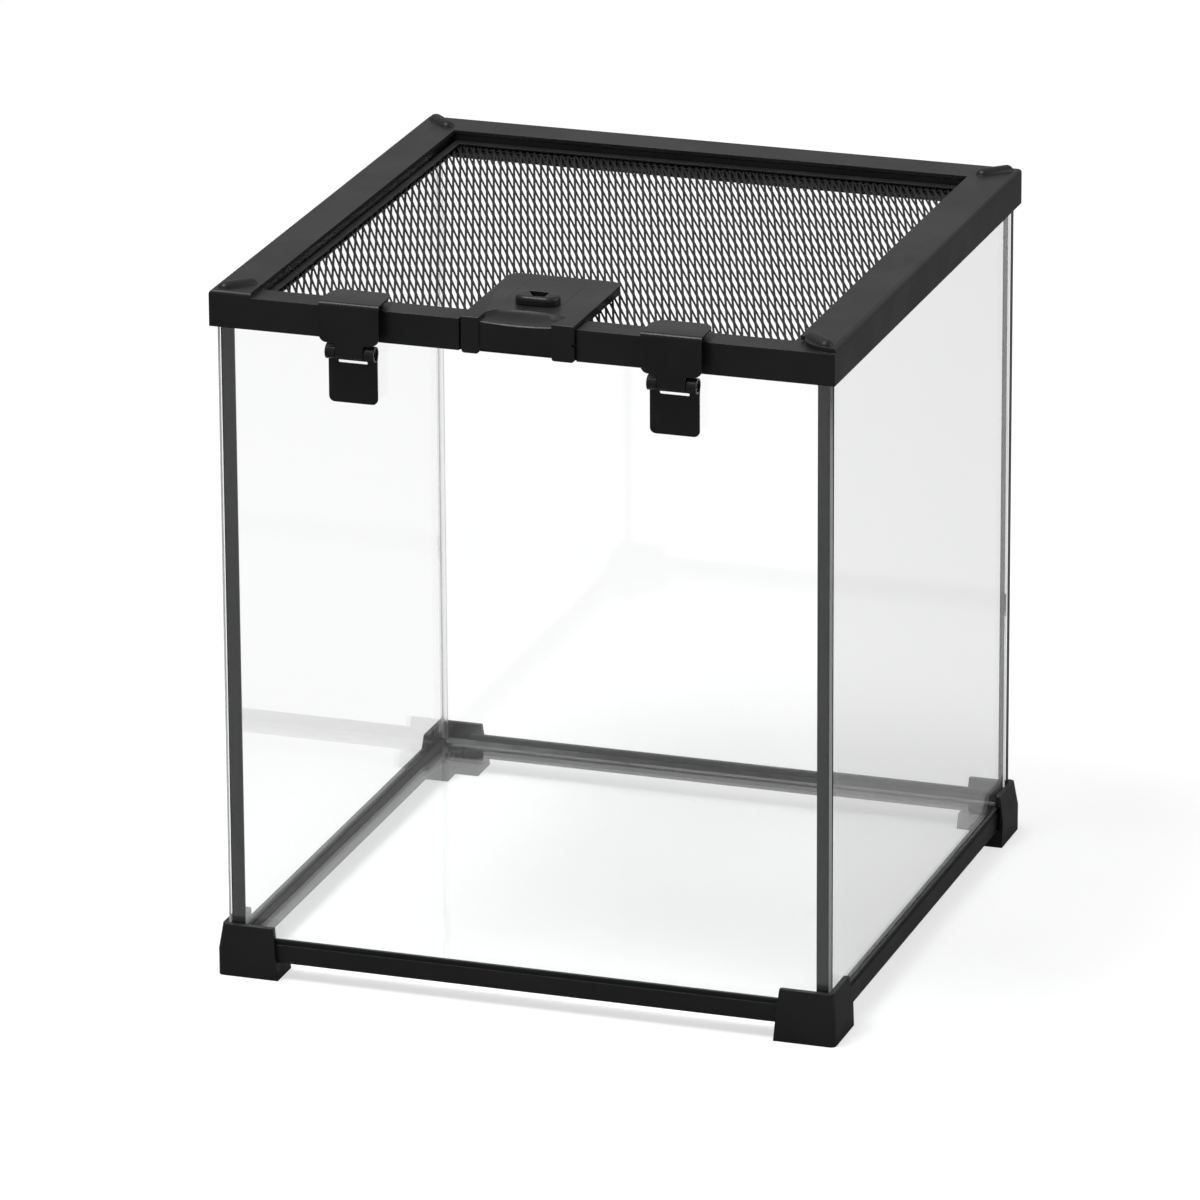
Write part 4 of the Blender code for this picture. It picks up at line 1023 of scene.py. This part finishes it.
lever, pin = lever_shape(), pin_shape()
for name, x in CLIP_X.items():
    axis = (x, PIN_Y - DEPTH / 2, PIN_HIGH)
    seat_part("clip_lever_" + name, lever, clip_coat, axis)
    seat_part("clip_pin_" + name, pin, clip_coat, axis)
print("a lever has", len(lever.polygons), "faces")

# %% [markdown]
# Expanded metal is made by slitting a sheet in staggered rows and pulling it open. Each strand twists as it
# is pulled, so one edge of every opening stands higher than the other. A texture with holes would look flat
# in the glancing light over a lid, so each of the cells here is real: a long rhombus with blunted tips.

# %% One cell of the screen
STRAND_STEP = Vector((-6.8, 19.6)) * MM
CROSS_STEP = Vector((9.9, -18.7)) * MM
STRAND_WIDE = 0.95 * MM
STRAND_THICK = 0.45 * MM
TWIST = 0.22 * MM
TIP = 0.1
TRIM = 0.3 * MM
MOST_ROWS = 60
CELL_REACH = Vector((12, 22)) * MM

low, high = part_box("mesh_screen")
middle = (low + high) / 2
half = (high - low) / 2


def cell_corners(centre):
    """The four corners of a cell, and its opening with blunted tips, as plan points with a height."""
    area = abs(STRAND_STEP.cross(CROSS_STEP))
    open_along = 1 - STRAND_WIDE * CROSS_STEP.length / area
    open_across = 1 - STRAND_WIDE * STRAND_STEP.length / area
    outer, inner = [], []
    for a, b in ((-1, -1), (1, -1), (1, 1), (-1, 1)):
        outer.append(centre + STRAND_STEP * a / 2 + CROSS_STEP * b / 2)
        inner.append(centre + STRAND_STEP * open_along * a / 2 + CROSS_STEP * open_across * b / 2)
    opening = []
    for place in range(4):
        here, before, after = inner[place], inner[place - 1], inner[(place + 1) % 4]
        rise = TWIST if place in (0, 1) else -TWIST
        for other in (before, after):
            point = here.lerp(other, TIP)
            opening.append(Vector((point.x, point.y, rise)))
    return outer, opening


print("a cell is", [round(step.length / MM, 1) for step in (STRAND_STEP, CROSS_STEP)], "mm along its sides")

# %% [markdown]
# The cells share their knots, so that the net is one mesh. It is laid out past the lid on every side and
# then cut straight, as the real sheet is cut from a roll. A Solidify modifier gives it its thickness, which
# keeps the mesh itself easy to read.

# %% Expanded metal screen
def screen_mesh():
    net = bmesh.new()
    knots = {}
    cells = 0

    def knot(point):
        key = (round(point.x / MM, 2), round(point.y / MM, 2))
        if key not in knots:
            knots[key] = net.verts.new((point.x, point.y, 0))
        return knots[key]

    for row in range(-MOST_ROWS, MOST_ROWS + 1):
        for column in range(-MOST_ROWS, MOST_ROWS + 1):
            centre = STRAND_STEP * row + CROSS_STEP * column
            if abs(centre.x) > half.x + CELL_REACH.x or abs(centre.y) > half.y + CELL_REACH.y:
                continue
            outer, opening = cell_corners(centre)
            rim = [knot(point) for point in outer]
            hole = [net.verts.new(point) for point in opening]
            for place in range(4):
                after = (place + 1) % 4
                first, last = hole[place * 2], hole[place * 2 + 1]
                net.faces.new((rim[place], last, first))
                net.faces.new((rim[place], rim[after], hole[after * 2], last))
            cells += abs(centre.x) < half.x and abs(centre.y) < half.y
    for axis in (0, 1):
        for sign in (-1, 1):
            cut = Vector((0, 0, 0))
            cut[axis] = sign * (half[axis] - TRIM)
            out = Vector((0, 0, 0))
            out[axis] = sign
            everything = net.verts[:] + net.edges[:] + net.faces[:]
            bmesh.ops.bisect_plane(net, geom=everything, plane_co=cut, plane_no=out, clear_outer=True)
    print("cells in the screen:", cells)
    mesh = bpy.data.meshes.new("screen_net")
    net.to_mesh(mesh)
    net.free()
    return mesh


screen = bpy.data.objects.new("screen_net", screen_mesh())
bpy.context.scene.collection.objects.link(screen)
screen.location = middle
thicken = screen.modifiers.new("sheet", "SOLIDIFY")
thicken.thickness = STRAND_THICK
thicken.offset = 0
screen.data.materials.append(screen_coat)
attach(screen, "lid")
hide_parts("mesh_screen")
print("screen lies at", round(middle.z / MM, 1), "mm")

# %% [markdown]
# The set is a pale floor with no visible horizon. For camera, glossy and transmitted rays the floor adds a
# glow of its own, so that it reads as white while the tank's shadow still shows on it. Black parts would
# mirror that white and turn grey, so a mirrored ray meets a darker floor, as it would in a studio with dark
# cards round the product. The choice is made by the ray's path and not by where the camera stands.

# %% Strength of the set
def backdrop_strength(tree, straight, mirrored, mirrored_behind):
    """Strength of the white set for a ray: straight from the camera or through glass, or in a reflection.

    A reflection inside or behind the glass has a level of its own. Rays that have been scattered by a matt
    surface get none of it, so it never lights the object.
    """
    path = put(tree, "LightPath").outputs
    behind = maths(tree, "MINIMUM", path["Transmission Depth"], 1.0)
    in_mirror = maths(tree, "MULTIPLY_ADD", behind, mirrored_behind - mirrored, mirrored)
    either = maths(tree, "MAXIMUM", path["Is Camera Ray"], path["Is Glossy Ray"])
    seen = maths(tree, "MAXIMUM", either, path["Is Transmission Ray"])
    bounced = maths(tree, "MINIMUM", path["Glossy Depth"], 1.0)
    change = maths(tree, "SUBTRACT", in_mirror, straight)
    level = maths(tree, "MULTIPLY_ADD", bounced, change, straight)
    unscattered = maths(tree, "SUBTRACT", 1.0, path["Diffuse Depth"], clamp=True)
    return maths(tree, "MULTIPLY", maths(tree, "MULTIPLY", seen, level), unscattered)


print("strength of the set ready")

# %% [markdown]
# The floor is one disc, wide enough that its edge lies outside the picture. A plane would do as well, but
# the disc's edge is equally far in every other view.

# %% Floor
FLOOR_RADIUS = 14
PAPER_TONE, PAPER_IN_MIRROR = (0.5, 0.5, 0.5, 1), (0.26, 0.26, 0.26, 1)
PAPER_GLOW = {"straight": 0.61, "mirrored": 0.02, "mirrored_behind": 0.6}

floor_shape = bmesh.new()
bmesh.ops.create_circle(floor_shape, cap_ends=True, radius=FLOOR_RADIUS, segments=64)
floor_mesh = bpy.data.meshes.new("floor")
floor_shape.to_mesh(floor_mesh)
floor_shape.free()
floor = bpy.data.objects.new("floor", floor_mesh)
bpy.context.scene.collection.objects.link(floor)
paper = bpy.data.materials.new("backdrop_paper")
paper.use_nodes = True
tree = paper.node_tree
tree.nodes.clear()
is_mirrored = maths(tree, "MINIMUM", put(tree, "LightPath").outputs["Glossy Depth"], 1.0)
matt = put(tree, "BsdfDiffuse", Color=blend_colours(tree, is_mirrored, PAPER_TONE, PAPER_IN_MIRROR))
glow = put(tree, "Emission", Strength=backdrop_strength(tree, **PAPER_GLOW))
total = put(tree, "AddShader")
join(tree, matt.outputs[0], total.inputs[0])
join(tree, glow.outputs[0], total.inputs[1])
join(tree, total.outputs[0], put(tree, "OutputMaterial").inputs[0])
floor_mesh.materials.append(paper)
print("floor radius", FLOOR_RADIUS, "m")

# %% [markdown]
# The light is that of a small product studio: one wide soft box overhead, a weaker one from the right, and a
# dim even surround. The overhead box draws the bright lines along the edges that face up and forward.

# %% Surround and lamps
FILL_LEVEL = 0.42
SURROUND_LEVEL = {"straight": 1.0, "mirrored": 0.46, "mirrored_behind": 0.82}

world = bpy.data.worlds.new("studio")
bpy.context.scene.world = world
world.use_nodes = True
tree = world.node_tree
tree.nodes.clear()
strength = maths(tree, "MAXIMUM", backdrop_strength(tree, **SURROUND_LEVEL), FILL_LEVEL)
surround = put(tree, "Background", Color=(1, 1, 1, 1), Strength=strength)
join(tree, surround.outputs[0], put(tree, "OutputWorld").inputs[0])


def soft_box(name, place, aim, wide, deep, watts):
    lamp = bpy.data.lights.new(name, "AREA")
    lamp.shape = "RECTANGLE"
    lamp.size = wide
    lamp.size_y = deep
    lamp.energy = watts
    box = bpy.data.objects.new(name, lamp)
    box.location = place
    box.rotation_euler = (Vector(aim) - Vector(place)).to_track_quat("-Z", "Y").to_euler()
    bpy.context.scene.collection.objects.link(box)
    print(name, watts, "W")


soft_box("overhead_box", (-1.0, -0.9, 3.5), (0, 0, 0.2), 1.35, 1.35, 84)
soft_box("right_box", (2.4, 0.6, 1.3), (0, 0, 0.2), 1.2, 1.2, 16)
